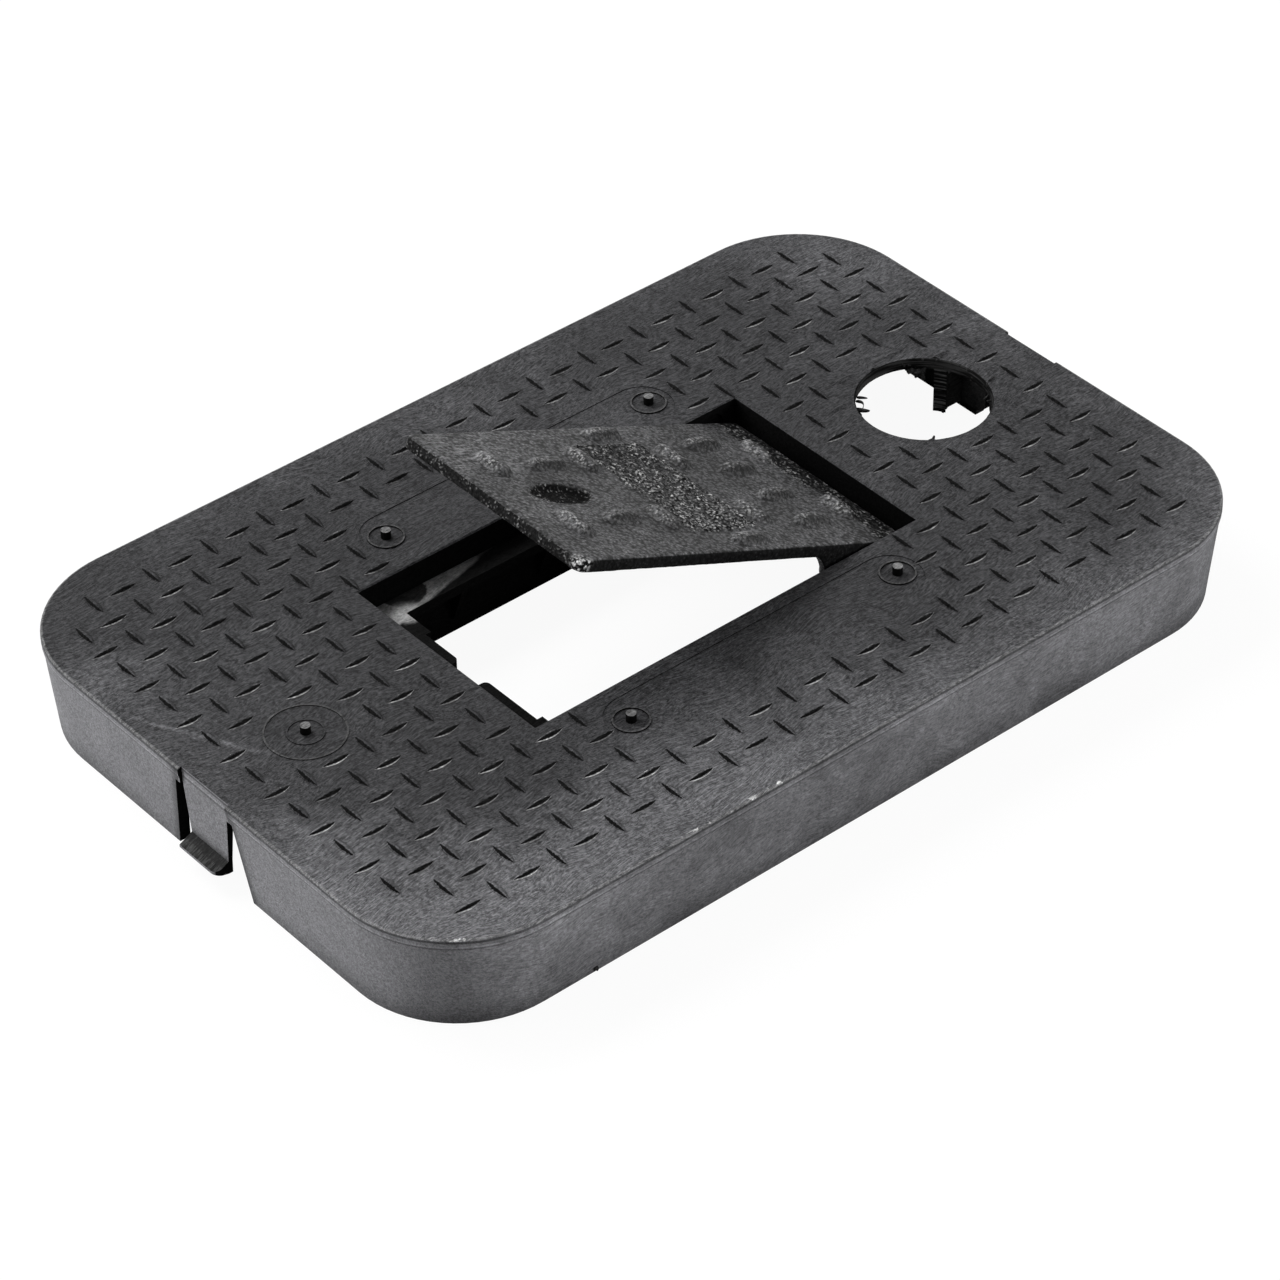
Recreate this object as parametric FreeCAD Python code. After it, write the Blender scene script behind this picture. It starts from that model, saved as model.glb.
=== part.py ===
import FreeCAD, Part
import math
import os
from FreeCAD import Vector

# Water meter box cover with a hinged reader lid. Millimetres, +Z up.
# Origin at the centre of the base. +X points to the end where the lid is hinged.

# cover: plate and skirt
length = 438.2
width = 286.0
height = 45.0
corner_r = 53.0
plate_t = 5.0
skirt_wall = 5.0
skirt_draft = 4.0
rim_band_h = 3.8
rim_step = 0.4
rim_round = 1.2

# cover: reader opening, its seat ledge and the girder round it
opening_len = 200.0
opening_w = 111.4
opening_shift = -0.5
opening_lead = 0.6
girder_t = 6.0
ledge_depth = 12.4
ledge_t = 4.5
ledge_end_w = 15.4
ledge_side_w = 10.8
finger_notch_w = 17.0
finger_notch_y = -1.0
finger_notch_wall_gap = 2.5
finger_notch_round = 2.5
ledge_relief = 2.7
ledge_relief_y0 = -41.0
ledge_relief_y1 = 29.0
gusset_t = 3.0
gusset_first = 46.0
gusset_count = 3
gusset_foot = 1.6
gusset_foot_z = 8.0
gusset_set_back = 1.4

# cover: ribs under the plate
rib_t = 5.4
rib_depth = 19.5
spine_rib_y = 18.4
end_rib_inset = 23.2
end_rib_gap = 2.4
end_rib_round = 5.5
side_rib_pitch = 71.0

# cover: round hole sawn after moulding, a little wider through the ribs and lugs
hole_r = 29.3
hole_end_gap = 60.8
hole_y = 2.7
hole_rib_gap = 0.5
hole_lug_gap = 0.3

# cover: snap tongues in the end walls
tongue_root_w = 29.0
tongue_foot_w = 23.6
tongue_shift = -1.2
tongue_root_t = 3.5
tongue_foot_t = 1.8
tongue_set_back = 2.0
tongue_lean = 0.8
tongue_notch_w = 30.0
tongue_foot_z = 7.0
barb_z = 13.0
barb_reach = 6.3
barb_drop = 3.2
barb_tip_t = 1.2
barb_corner_r = 3.5
window_head = 7.5
window_head_half = 18.0
window_foot_half = 24.0

# cover: tread lugs
lug_len = 13.5
lug_ridge_len = 4.6
lug_w = 3.4
lug_h = 1.2
lug_sink = 0.5
tread_pitch_x = 14.2
tread_pitch_y = 13.98
tread_edge_margin = 12.0
opening_margin = 4.5
gate_clear_r = 17.0
plain_band_half = 13.0
plain_band_open_gap = 23.9
plain_band_end_gap = 28.0

# cover: text panels beside the opening, moulding gates
panel_len = 160.0
panel_w = 27.6
panel_y = 76.8
panel_depth = 0.3
panel_margin = 4.0
gate_r = 2.1
gate_h = 3.5
gate_x = 69.8
end_gate_gap = 50.1
gate_ring_r = 7.4
end_gate_ring_r = 16.4
ring_w = 0.8
ring_h = 0.35

# reader lid
lid_t = 5.4
lid_side_gap = 1.3
lid_hinge_gap = 2.9
lid_finger_gap = 7.7
lid_seat_gap = 0.2
lid_corner_r = 4.0
lid_top_round = 1.2
rest_open_deg = 24.2

# reader lid: trunnions and the side ears that carry them
trunnion_r = 4.0
trunnion_in = 9.1
trunnion_drop = 6.7
trunnion_reach = 0.5
trunnion_chamfer = 0.8
trunnion_clearance = 0.06
socket_neck = 7.2
socket_mouth = 9.6
socket_neck_len = 4.0
arch_half_w = 5.2
arch_depth = 1.0
arch_top_depth = 3.4
ear_t = 4.0
ear_inset = 0.5
ear_start = 2.0
ear_len = 46.8
ear_depth = 11.0
ear_lean = 4.2
ear_lean_at_hinge = 2.4
ear_round = 4.0
ear_root_r = 12.0
ear_ledge_gap = 0.4

# reader lid: face and underside
oval_len = 21.0
oval_w = 9.5
oval_h = 2.0
oval_taper = 2.4
oval_columns = (
    (15.0, (25.0,), False),
    (40.0, (11.5, 34.0), True),
    (66.0, (24.5,), False),
    (88.0, (46.0,), True),
    (117.5, (25.0,), False),
    (139.5, (23.0,), True),
    (167.0, (25.0,), False),
)
pad_start = 74.0
pad_len = 38.0
pad_w = 75.0
pad_h = 0.8
pick_centre = 152.0
pick_len = 31.0
pick_w = 17.5
pick_depth = 2.6
stiffener_v = 20.0
stiffener_t = 5.0
stiffener_depth = 6.0
stiffener_start = 16.0
stiffener_end_gap = 22.0

# places that follow from the sizes above
half_l = length / 2
half_w = width / 2
under_plate = height - plate_t
open_x0 = opening_shift - opening_len / 2
open_x1 = opening_shift + opening_len / 2
open_hw = opening_w / 2
girder_x0 = open_x0 - girder_t
girder_x1 = open_x1 + girder_t
girder_hw = open_hw + girder_t
ledge_top = height - ledge_depth
ledge_bottom = ledge_top - ledge_t
ledge_inner_y = open_hw - ledge_side_w
hole_x = half_l - hole_end_gap
end_rib_x = half_l - end_rib_inset
rib_bottom = under_plate - rib_depth
lid_x1 = open_x1 - lid_hinge_gap
lid_x0 = open_x0 + lid_finger_gap
lid_hw = open_hw - lid_side_gap
lid_bottom = ledge_top + lid_seat_gap
lid_top = lid_bottom + lid_t
pivot = Vector(lid_x1 - trunnion_in, 0, lid_top - trunnion_drop)
ear_x0 = lid_x1 - ear_start - ear_len
ear_root_run = ear_root_r * math.tan((math.pi / 2 - math.atan(ear_lean / ear_depth)) / 2)
ledge_x1 = ear_x0 - ear_root_run - ear_ledge_gap
over = 1.0
tiny = 1e-6


def box(x0, x1, y0, y1, z0, z1):
    return Part.makeBox(x1 - x0, y1 - y0, z1 - z0, Vector(x0, y0, z0))


def cylinder(r, x, y, z0, z1):
    return Part.makeCylinder(r, z1 - z0, Vector(x, y, z0))


def rounded_rect(hx, hy, r, z):
    """Closed wire of a centred rectangle with round corners."""
    edges = []
    corners = ((1, 1, 0), (-1, 1, 90), (-1, -1, 180), (1, -1, 270))
    ends = []
    for sx, sy, start in corners:
        cx = sx * (hx - r)
        cy = sy * (hy - r)
        points = []
        for turn in (0, 45, 90):
            a = math.radians(start + turn)
            points.append(Vector(cx + r * math.cos(a), cy + r * math.sin(a), z))
        edges.append(Part.Arc(*points).toShape())
        ends.append((points[0], points[2]))
    for i in range(len(ends)):
        edges.append(Part.makeLine(ends[i][1], ends[(i + 1) % len(ends)][0]))
    return Part.Wire(Part.__sortEdges__(edges))


def rounded_slab(hx, hy, r, z0, z1):
    return Part.Face(rounded_rect(hx, hy, r, z0)).extrude(Vector(0, 0, z1 - z0))


def rounded_taper(inset0, z0, inset1, z1):
    """Solid between two insets of the cover's outline."""
    wires = []
    for inset, z in ((inset0, z0), (inset1, z1)):
        wires.append(rounded_rect(half_l - inset, half_w - inset, corner_r - inset, z))
    return Part.makeLoft(wires, True, True)


def prism(points, travel):
    """Straight-sided prism from a list of corner points."""
    return Part.Face(Part.makePolygon(points + [points[0]])).extrude(travel)


def mirrored(shape, normal):
    return shape.mirror(Vector(0, 0, 0), normal)


def both_sides(shape, normal):
    return [shape, mirrored(shape, normal)]


def both_ends(shape):
    """The shape and its copy turned half round about the cover's upright axis."""
    turned = shape.copy()
    turned.rotate(Vector(0, 0, 0), Vector(0, 0, 1), 180)
    return [shape, turned]


def edges_at(shape, z):
    """Edges that lie flat at height z."""
    return [e for e in shape.Edges if all(abs(v.Z - z) < tiny for v in e.Vertexes)]


def runs_along(edge, direction):
    return abs(edge.tangentAt(edge.FirstParameter).dot(direction)) > 1 - tiny


def cross_edges(shape, z):
    """Straight edges along Y at height z."""
    return [e for e in edges_at(shape, z) if runs_along(e, Vector(0, 1, 0))]


def stadium(cx, cy, full_len, full_w, z0, z1):
    """Slot shape along X: a box with a round end at each side."""
    reach = (full_len - full_w) / 2
    body = box(cx - reach, cx + reach, cy - full_w / 2, cy + full_w / 2, z0, z1)
    ends = [cylinder(full_w / 2, cx + s * reach, cy, z0, z1) for s in (-1, 1)]
    return body.fuse(ends).removeSplitter()


def stadium_wire(full_len, full_w, z):
    reach = (full_len - full_w) / 2
    r = full_w / 2
    a = Vector(-reach, -r, z)
    b = Vector(reach, -r, z)
    c = Vector(reach, r, z)
    d = Vector(-reach, r, z)
    edges = [
        Part.makeLine(a, b),
        Part.Arc(b, Vector(reach + r, 0, z), c).toShape(),
        Part.makeLine(c, d),
        Part.Arc(d, Vector(-reach - r, 0, z), a).toShape(),
    ]
    return Part.Wire(edges)


def skirt_inset(z):
    """How far the skirt's outer face stands in from the top edge at height z."""
    foot = height - rim_band_h
    return skirt_draft + (rim_step - skirt_draft) * z / foot


def shell():
    band_z = height - rim_band_h
    band = rounded_slab(half_l, half_w, corner_r, band_z, height)
    band = band.makeFillet(rim_round, edges_at(band, height))
    skirt = rounded_taper(skirt_draft, 0, rim_step, band_z)
    wall_foot = skirt_draft + skirt_wall
    wall_head = skirt_inset(under_plate) + skirt_wall
    cavity = rounded_taper(wall_foot, 0, wall_head, under_plate)
    return skirt.fuse(band).cut(cavity)


def end_rib(x):
    """Cross web near an end, parted in the middle with rounded lower corners."""
    half_gap = end_rib_gap / 2
    web = box(x - rib_t / 2, x + rib_t / 2, half_gap, half_w, rib_bottom, under_plate + over)
    corner = []
    for e in web.Edges:
        c = e.CenterOfMass
        if abs(c.y - half_gap) < tiny and abs(c.z - rib_bottom) < tiny:
            corner.append(e)
    return both_sides(web.makeFillet(end_rib_round, corner), Vector(0, 1, 0))


def ribs():
    """Webs under the plate, from the girder out to the middle of the skirt wall."""
    parts = []
    top = under_plate + over
    t = rib_t / 2
    for side in (-1, 1):
        girder_end = girder_x1 if side > 0 else girder_x0
        for y in (-spine_rib_y, spine_rib_y):
            x0, x1 = sorted((girder_end - side * over, side * end_rib_x))
            parts.append(box(x0, x1, y - t, y + t, rib_bottom, top))
        for part in end_rib(side * end_rib_x):
            parts.append(part)
        y0, y1 = sorted((side * (girder_hw - over), side * half_w))
        for n in (-1, 0, 1):
            x = opening_shift + n * side_rib_pitch
            parts.append(box(x - t, x + t, y0, y1, rib_bottom, top))
    wall_mid = skirt_wall / 2
    inside = rounded_taper(
        skirt_inset(rib_bottom) + wall_mid, rib_bottom, skirt_inset(top) + wall_mid, top,
    )
    return [part.common(inside) for part in parts]


def ledge():
    """Seat of the reader lid: across the finger end and along both sides."""
    outer = box(open_x0 - over, ledge_x1, -open_hw - over, open_hw + over, ledge_bottom, ledge_top)
    inner_x = open_x0 + ledge_end_w
    inner = box(inner_x, ledge_x1 + over, -ledge_inner_y, ledge_inner_y, ledge_bottom - over, height)
    seat = outer.cut(inner)
    relief = box(
        inner_x - ledge_relief, inner_x + over,
        ledge_relief_y0, ledge_relief_y1, ledge_bottom - over, height,
    )
    y0 = finger_notch_y - finger_notch_w / 2
    notch = box(
        open_x0 + finger_notch_wall_gap, inner_x + over,
        y0, y0 + finger_notch_w, ledge_bottom - over, height,
    )
    seat = seat.cut([relief, notch])
    lip_x = inner_x - ledge_relief
    rounded = []
    for e in seat.Edges:
        upright = runs_along(e, Vector(0, 0, 1))
        at_lip = abs(e.CenterOfMass.x - lip_x) < tiny
        at_notch = abs(abs(e.CenterOfMass.y - finger_notch_y) - finger_notch_w / 2) < tiny
        if upright and at_lip and at_notch:
            rounded.append(e)
    return seat.makeFillet(finger_notch_round, rounded)


def gussets():
    """Tapered webs that carry the side ledges."""
    parts = []
    first = open_x0 + gusset_first
    pitch = (ledge_x1 - gusset_t - first) / (gusset_count - 1)
    for i in range(gusset_count):
        x = first + i * pitch
        profile = [
            Vector(x, open_hw + over, ledge_bottom + over),
            Vector(x, ledge_inner_y + gusset_set_back, ledge_bottom + over),
            Vector(x, open_hw - gusset_foot, gusset_foot_z),
            Vector(x, open_hw + over, gusset_foot_z - gusset_foot),
        ]
        web = prism(profile, Vector(gusset_t, 0, 0))
        parts += both_sides(web, Vector(0, 1, 0))
    return parts


def socket_cuts():
    """Snap sockets for the trunnions: a bore over a neck that opens downwards."""
    r = trunnion_r + trunnion_clearance
    y0 = open_hw - over
    span = girder_t + 2 * over
    bore = Part.makeCylinder(r, span, Vector(pivot.x, y0, pivot.z), Vector(0, 1, 0))
    neck_foot = pivot.z - r - socket_neck_len
    neck = box(
        pivot.x - socket_neck / 2, pivot.x + socket_neck / 2, y0, y0 + span, neck_foot, pivot.z,
    )
    mouth = box(
        pivot.x - socket_mouth / 2, pivot.x + socket_mouth / 2, y0, y0 + span, -over, neck_foot,
    )
    arch_z = height - arch_top_depth - arch_half_w
    arch_head = Part.makeCylinder(
        arch_half_w, over + arch_depth, Vector(pivot.x, y0, arch_z), Vector(0, 1, 0),
    )
    arch = box(
        pivot.x - arch_half_w, pivot.x + arch_half_w, y0, y0 + over + arch_depth, -over, arch_z,
    )
    cuts = []
    for shape in (bore, neck, mouth, arch_head, arch):
        cuts += both_sides(shape, Vector(0, 1, 0))
    return cuts


def round_hole():
    """Cutters of the round hole: through the ribs, the plate and the lugs."""
    return [
        cylinder(hole_r + hole_rib_gap, hole_x, hole_y, -over, under_plate),
        cylinder(hole_r, hole_x, hole_y, under_plate - over, height + over),
        cylinder(hole_r + hole_lug_gap, hole_x, hole_y, height, height + gate_h),
    ]


def opening_cut():
    hole = box(open_x0, open_x1, -open_hw, open_hw, -over, height + over)
    low = height - opening_lead
    wires = []
    for grow, z in ((0, low), (opening_lead + over, height + over)):
        corners = [
            Vector(open_x0 - grow, -open_hw - grow, z),
            Vector(open_x1 + grow, -open_hw - grow, z),
            Vector(open_x1 + grow, open_hw + grow, z),
            Vector(open_x0 - grow, open_hw + grow, z),
        ]
        wires.append(Part.makePolygon(corners + [corners[0]]))
    return [hole, Part.makeLoft(wires, True, True)]


def tongue_window():
    """Opening in the end wall that frees the tongue, and the notch above it."""
    x0 = end_rib_x + rib_t
    x1 = half_l + over
    head_z = height - window_head
    corners = [
        Vector(x0, window_head_half, head_z),
        Vector(x0, window_foot_half, -over),
        Vector(x0, -window_foot_half, -over),
        Vector(x0, -window_head_half, head_z),
    ]
    window = prism(corners, Vector(x1 - x0, 0, 0))
    half_notch = tongue_notch_w / 2
    notch = box(
        half_l - tongue_set_back, x1, -half_notch, half_notch, head_z - over, height + over,
    )
    return [window, notch]


def tongue():
    """Snap tongue at the hinge end: it hangs from the plate and hooks outwards at its foot."""
    root_z = under_plate + plate_t / 2
    out = half_l - tongue_set_back
    foot_out = out - tongue_lean
    tip = foot_out + barb_reach
    tip_z = barb_z - barb_drop
    w = tongue_root_w / 2
    side_view = prism([
        Vector(out - tongue_root_t, -w, root_z),
        Vector(out, -w, root_z),
        Vector(foot_out, -w, barb_z),
        Vector(tip, -w, tip_z),
        Vector(tip, -w, tip_z - barb_tip_t),
        Vector(foot_out, -w, tongue_foot_z),
        Vector(foot_out - tongue_foot_t, -w, tongue_foot_z),
    ], Vector(0, tongue_root_w, 0))
    foot_w = tongue_foot_w / 2
    behind = out - 2 * tongue_root_t
    front_view = prism([
        Vector(behind, -w, root_z),
        Vector(behind, w, root_z),
        Vector(behind, foot_w, barb_z),
        Vector(behind, foot_w, 0),
        Vector(behind, -foot_w, 0),
        Vector(behind, -foot_w, barb_z),
    ], Vector(tip + over - behind, 0, 0))
    hook = side_view.common(front_view)
    corner = []
    for e in hook.Edges:
        upright = runs_along(e, Vector(0, 0, 1))
        c = e.CenterOfMass
        if upright and abs(c.x - tip) < tiny and c.y > 0:
            corner.append(e)
    hook = hook.makeFillet(barb_corner_r, corner)
    hook.translate(Vector(0, tongue_shift, 0))
    return hook


def gate_places():
    places = [(sx * gate_x, sy * panel_y, gate_ring_r) for sx in (-1, 1) for sy in (-1, 1)]
    places.append((end_gate_gap - half_l, 0, gate_ring_r))
    return places


def gates():
    """Broken-off moulding gates, each in a low ring."""
    low = height - lug_sink
    parts = []
    rings = gate_places() + [(end_gate_gap - half_l, 0, end_gate_ring_r)]
    for x, y, _ in gate_places():
        parts.append(cylinder(gate_r, x, y, low, height + gate_h))
    for x, y, r in rings:
        ring = cylinder(r + ring_w / 2, x, y, low, height + ring_h)
        parts.append(ring.cut(cylinder(r - ring_w / 2, x, y, low - over, height + over)))
    return parts


def lug():
    """Low pointed hip along X, standing on a foot sunk into the plate."""
    tip = lug_len / 2
    mid = lug_ridge_len / 2
    side = lug_w / 2
    plan = ((-tip, 0), (-mid, -side), (mid, -side), (tip, 0), (mid, side), (-mid, side))
    rim = [Vector(x, y, 0) for x, y in plan]
    left = Vector(-mid, 0, lug_h)
    right = Vector(mid, 0, lug_h)
    corner_lists = [
        [rim[0], rim[1], left],
        [rim[1], rim[2], right, left],
        [rim[2], rim[3], right],
        [rim[3], rim[4], right],
        [rim[4], rim[5], left, right],
        [rim[5], rim[0], left],
    ]
    sink = Vector(0, 0, -lug_sink)
    for i in range(len(rim)):
        corner_lists.append([rim[i - 1], rim[i], rim[i] + sink, rim[i - 1] + sink])
    corner_lists.append([p + sink for p in rim])
    faces = [Part.Face(Part.makePolygon(corners + corners[:1])) for corners in corner_lists]
    solid = Part.Solid(Part.Shell(faces))
    if solid.Volume < 0:
        solid.reverse()
    return solid


def edge_gap(x, y):
    """Distance from a point inside the cover to its top edge."""
    dx = abs(x) - (half_l - corner_r)
    dy = abs(y) - (half_w - corner_r)
    if dx > 0 and dy > 0:
        return corner_r - math.hypot(dx, dy)
    return min(half_l - abs(x), half_w - abs(y))


def lug_fits(x, y, along_x):
    """True where the tread has a lug: clear of the edge, opening, panels and gates."""
    reach_x = lug_len / 2 if along_x else lug_w / 2
    reach_y = lug_w / 2 if along_x else lug_len / 2
    tip_x = abs(x) + (reach_x if along_x else 0)
    tip_y = abs(y) + (0 if along_x else reach_y)
    if edge_gap(tip_x, tip_y) < tread_edge_margin:
        return False
    beside_opening_x = open_x0 - opening_margin < x < open_x1 + opening_margin
    if beside_opening_x and abs(y) < open_hw + opening_margin:
        return False
    in_panel_y = abs(abs(y) - panel_y) < panel_w / 2 + panel_margin
    if in_panel_y and abs(x) < panel_len / 2:
        return False
    in_plain_band_x = open_x1 + plain_band_open_gap < x < half_l - plain_band_end_gap
    if in_plain_band_x and abs(y) < plain_band_half:
        return False
    gate_dx = max(abs(x - (end_gate_gap - half_l)) - reach_x, 0)
    gate_dy = max(abs(y) - reach_y, 0)
    return math.hypot(gate_dx, gate_dy) > gate_clear_r


def tread():
    """Lugs on a square lattice, turned a quarter at every other place."""
    across = lug()
    across.translate(Vector(0, 0, height))
    upright = across.copy()
    upright.rotate(Vector(0, 0, 0), Vector(0, 0, 1), 90)
    columns = int(half_l / tread_pitch_x)
    rows = int(half_w / tread_pitch_y) + 1
    lugs = []
    for n in range(-columns, columns + 1):
        for m in range(-rows, rows):
            x = n * tread_pitch_x
            y = (m + 0.5) * tread_pitch_y
            along_x = (n + m) % 2 == 0
            if lug_fits(x, y, along_x):
                piece = (across if along_x else upright).copy()
                piece.translate(Vector(x, y, 0))
                lugs.append(piece)
    return lugs


def cover():
    girder = box(girder_x0, girder_x1, -girder_hw, girder_hw, 0, under_plate + over)
    body = shell().fuse([girder] + ribs())
    body = body.cut([cut for shape in tongue_window() for cut in both_ends(shape)])
    body = body.cut(opening_cut())
    body = body.fuse([ledge()] + gussets() + both_ends(tongue()))
    body = body.cut(socket_cuts())
    for y in (-panel_y, panel_y):
        body = body.cut(stadium(0, y, panel_len, panel_w, height - panel_depth, height + over))
    body = body.removeSplitter()
    body = body.fuse(tread() + gates())
    return body.cut(round_hole())


def ear():
    """Side ear under the lid's hinge end, with a rounded root and foot."""
    y0 = lid_hw - ear_inset - ear_t
    root = lid_bottom
    foot = root - ear_depth
    top = root + lid_t / 2
    hinge_x = lid_x1 - ear_start
    arm_x = ear_x0 - ear_root_r
    plate = prism([
        Vector(hinge_x, y0, top),
        Vector(hinge_x, y0, root),
        Vector(hinge_x - ear_lean_at_hinge, y0, foot),
        Vector(ear_x0 + ear_lean, y0, foot),
        Vector(ear_x0, y0, root),
        Vector(arm_x, y0, root),
        Vector(arm_x, y0, top),
    ], Vector(0, ear_t, 0))
    roots = [e for e in cross_edges(plate, root) if abs(e.CenterOfMass.x - ear_x0) < tiny]
    plate = plate.makeFillet(ear_root_r, roots)
    return plate.makeFillet(ear_round, cross_edges(plate, foot))


def trunnion():
    """Round stub that turns in the cover's socket, with a chamfered tip."""
    y0 = lid_hw - ear_inset - ear_t
    y1 = girder_hw - trunnion_reach
    stub = Part.makeCylinder(
        trunnion_r, y1 - trunnion_chamfer - y0, Vector(pivot.x, y0, pivot.z), Vector(0, 1, 0),
    )
    tip = Part.makeCone(
        trunnion_r, trunnion_r - trunnion_chamfer, trunnion_chamfer,
        Vector(pivot.x, y1 - trunnion_chamfer, pivot.z), Vector(0, 1, 0),
    )
    return stub.fuse(tip)


def tread_oval(x, y, along_x):
    """Low oval lug with sloping sides."""
    sink = lid_t / 4
    run = oval_taper * (1 + sink / oval_h)
    low = stadium_wire(oval_len + 2 * (run - oval_taper), oval_w + 2 * (run - oval_taper), -sink)
    high = stadium_wire(oval_len - 2 * oval_taper, oval_w - 2 * oval_taper, oval_h)
    oval = Part.makeLoft([low, high], True, True)
    if not along_x:
        oval.rotate(Vector(0, 0, 0), Vector(0, 0, 1), 90)
    oval.translate(Vector(x, y, lid_top))
    return oval


def lid_plate():
    half = (lid_x1 - lid_x0) / 2
    plate = rounded_slab(half, lid_hw, lid_corner_r, lid_bottom, lid_top)
    plate = plate.makeFillet(lid_top_round, edges_at(plate, lid_top))
    plate.translate(Vector((lid_x0 + lid_x1) / 2, 0, 0))
    return plate


def reader_lid():
    """Lid in its closed place, then swung open about its trunnions."""
    features = both_sides(ear(), Vector(0, 1, 0)) + both_sides(trunnion(), Vector(0, 1, 0))
    pad_x1 = lid_x1 - pad_start
    for u, rows, along_x in oval_columns:
        for v in rows:
            for side in (-1, 1):
                features.append(tread_oval(lid_x1 - u, side * v, along_x))
    features.append(box(
        pad_x1 - pad_len, pad_x1, -pad_w / 2, pad_w / 2, lid_top - lid_t / 4, lid_top + pad_h,
    ))
    for v in (-stiffener_v, stiffener_v):
        features.append(box(
            lid_x0 + stiffener_end_gap, lid_x1 - stiffener_start,
            v - stiffener_t / 2, v + stiffener_t / 2,
            lid_bottom - stiffener_depth, lid_bottom + lid_t / 4,
        ))
    lid = lid_plate().fuse(features)
    pick_x = lid_x1 - pick_centre
    lid = lid.cut(stadium(pick_x, 0, pick_len, pick_w, lid_top - pick_depth, lid_top + over))
    lid = lid.removeSplitter()
    lid.rotate(pivot, Vector(0, 1, 0), rest_open_deg)
    return lid


os.makedirs("parts", exist_ok=True)
for node, shape in (("cover", cover()), ("reader_lid", reader_lid())):
    solid = shape.Solids[0] if len(shape.Solids) == 1 else shape
    solid.exportStep("parts/" + node + ".step")
    print(node, len(shape.Solids), "solid", round(shape.Volume), "mm3", "valid", shape.isValid())
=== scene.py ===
import bpy
import bmesh
import math
import random
from types import SimpleNamespace
from mathutils import Matrix, Vector, noise


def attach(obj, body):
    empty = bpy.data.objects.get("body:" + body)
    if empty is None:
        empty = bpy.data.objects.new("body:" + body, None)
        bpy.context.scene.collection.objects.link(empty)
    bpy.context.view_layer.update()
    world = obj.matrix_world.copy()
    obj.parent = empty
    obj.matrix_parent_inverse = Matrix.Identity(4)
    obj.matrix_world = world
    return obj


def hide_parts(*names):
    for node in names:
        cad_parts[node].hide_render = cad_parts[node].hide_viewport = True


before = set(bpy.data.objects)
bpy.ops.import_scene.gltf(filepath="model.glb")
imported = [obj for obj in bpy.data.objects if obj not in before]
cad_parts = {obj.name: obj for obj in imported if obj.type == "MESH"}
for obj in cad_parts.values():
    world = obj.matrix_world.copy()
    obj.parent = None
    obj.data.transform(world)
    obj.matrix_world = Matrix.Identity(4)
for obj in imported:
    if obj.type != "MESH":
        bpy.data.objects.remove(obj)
print("frame loaded:", sorted(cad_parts))

mm = 0.001


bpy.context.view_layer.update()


# shader helpers

class Field:  # a node's output, which can be added, multiplied and stepped like a number
    def __init__(self, socket):
        self.socket = socket
        self.tree = socket.id_data

    def calc(self, operation, *values, clamp=False):
        node = addNode(self.tree, "ShaderNodeMath", dict(enumerate(values)), operation=operation, use_clamp=clamp)
        return Field(node.outputs[0])

    def __add__(self, other):
        return self.calc("ADD", self, other)

    def __sub__(self, other):
        return self.calc("SUBTRACT", self, other)

    def __rsub__(self, other):
        return self.calc("SUBTRACT", other, self)

    def __mul__(self, other):
        return self.calc("MULTIPLY", self, other)

    def __rtruediv__(self, other):
        return self.calc("DIVIDE", other, self)

    def __abs__(self):
        return self.calc("ABSOLUTE", self)

    def step(self, low, high, toLow=0.0, toHigh=1.0):  # soft step between two values
        return Field(addNode(self.tree, "ShaderNodeMapRange", {
            "Value": self, "From Min": low, "From Max": high, "To Min": toLow, "To Max": toHigh,
        }, interpolation_type="SMOOTHSTEP").outputs["Result"])

    def blend(self, a, b):  # from number a to number b as this goes from 0 to 1
        return Field(addNode(self.tree, "ShaderNodeMix", {0: self, 2: a, 3: b}, data_type="FLOAT").outputs[0])

    def tint(self, a, b):  # from colour a to colour b as this goes from 0 to 1
        return mixColor(self.tree, self, a, b, "MIX")

    def shade(self, color):  # a colour times this tone
        level = Field(addNode(self.tree, "ShaderNodeCombineXYZ", {0: self, 1: self, 2: self}).outputs[0])
        return mixColor(self.tree, 1.0, color, level, "MULTIPLY")

    def noise(self, scale, detail=4.0, roughness=0.55, distortion=0.0):
        return Field(addNode(self.tree, "ShaderNodeTexNoise", {
            "Vector": self, "Scale": scale, "Detail": detail, "Roughness": roughness, "Distortion": distortion,
        }).outputs["Fac"])

    def vectorMath(self, operation, other, output=0):
        node = addNode(self.tree, "ShaderNodeVectorMath", {0: self, 1: other}, operation=operation)
        return Field(node.outputs[output])

    def to(self, place):  # distance to a place
        return self.vectorMath("DISTANCE", place, "Value")

    def xyz(self):
        return fields(addNode(self.tree, "ShaderNodeSeparateXYZ", {0: self}))

    def mapped(self, **inputs):  # moved, turned and scaled
        return Field(addNode(self.tree, "ShaderNodeMapping", {"Vector": self, **inputs}).outputs[0])

    def bump(self, distance, strength=1.0, **under):
        return Field(addNode(self.tree, "ShaderNodeBump", {
            "Height": self, "Distance": distance, "Strength": strength, **under}).outputs[0])

    def group(self, group, **inputs):
        return fields(addNode(self.tree, "ShaderNodeGroup", {"Vector": self, **inputs}, node_tree=group))


def setInputs(node, inputs):
    for key, value in inputs.items():
        if isinstance(value, Field):
            value.tree.links.new(value.socket, node.inputs[key])
        else:
            node.inputs[key].default_value = value


def addNode(tree, kind, inputs=None, **settings):
    node = tree.nodes.new(kind)
    for name, value in settings.items():
        setattr(node, name, value)
    setInputs(node, inputs or {})
    return node


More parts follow.
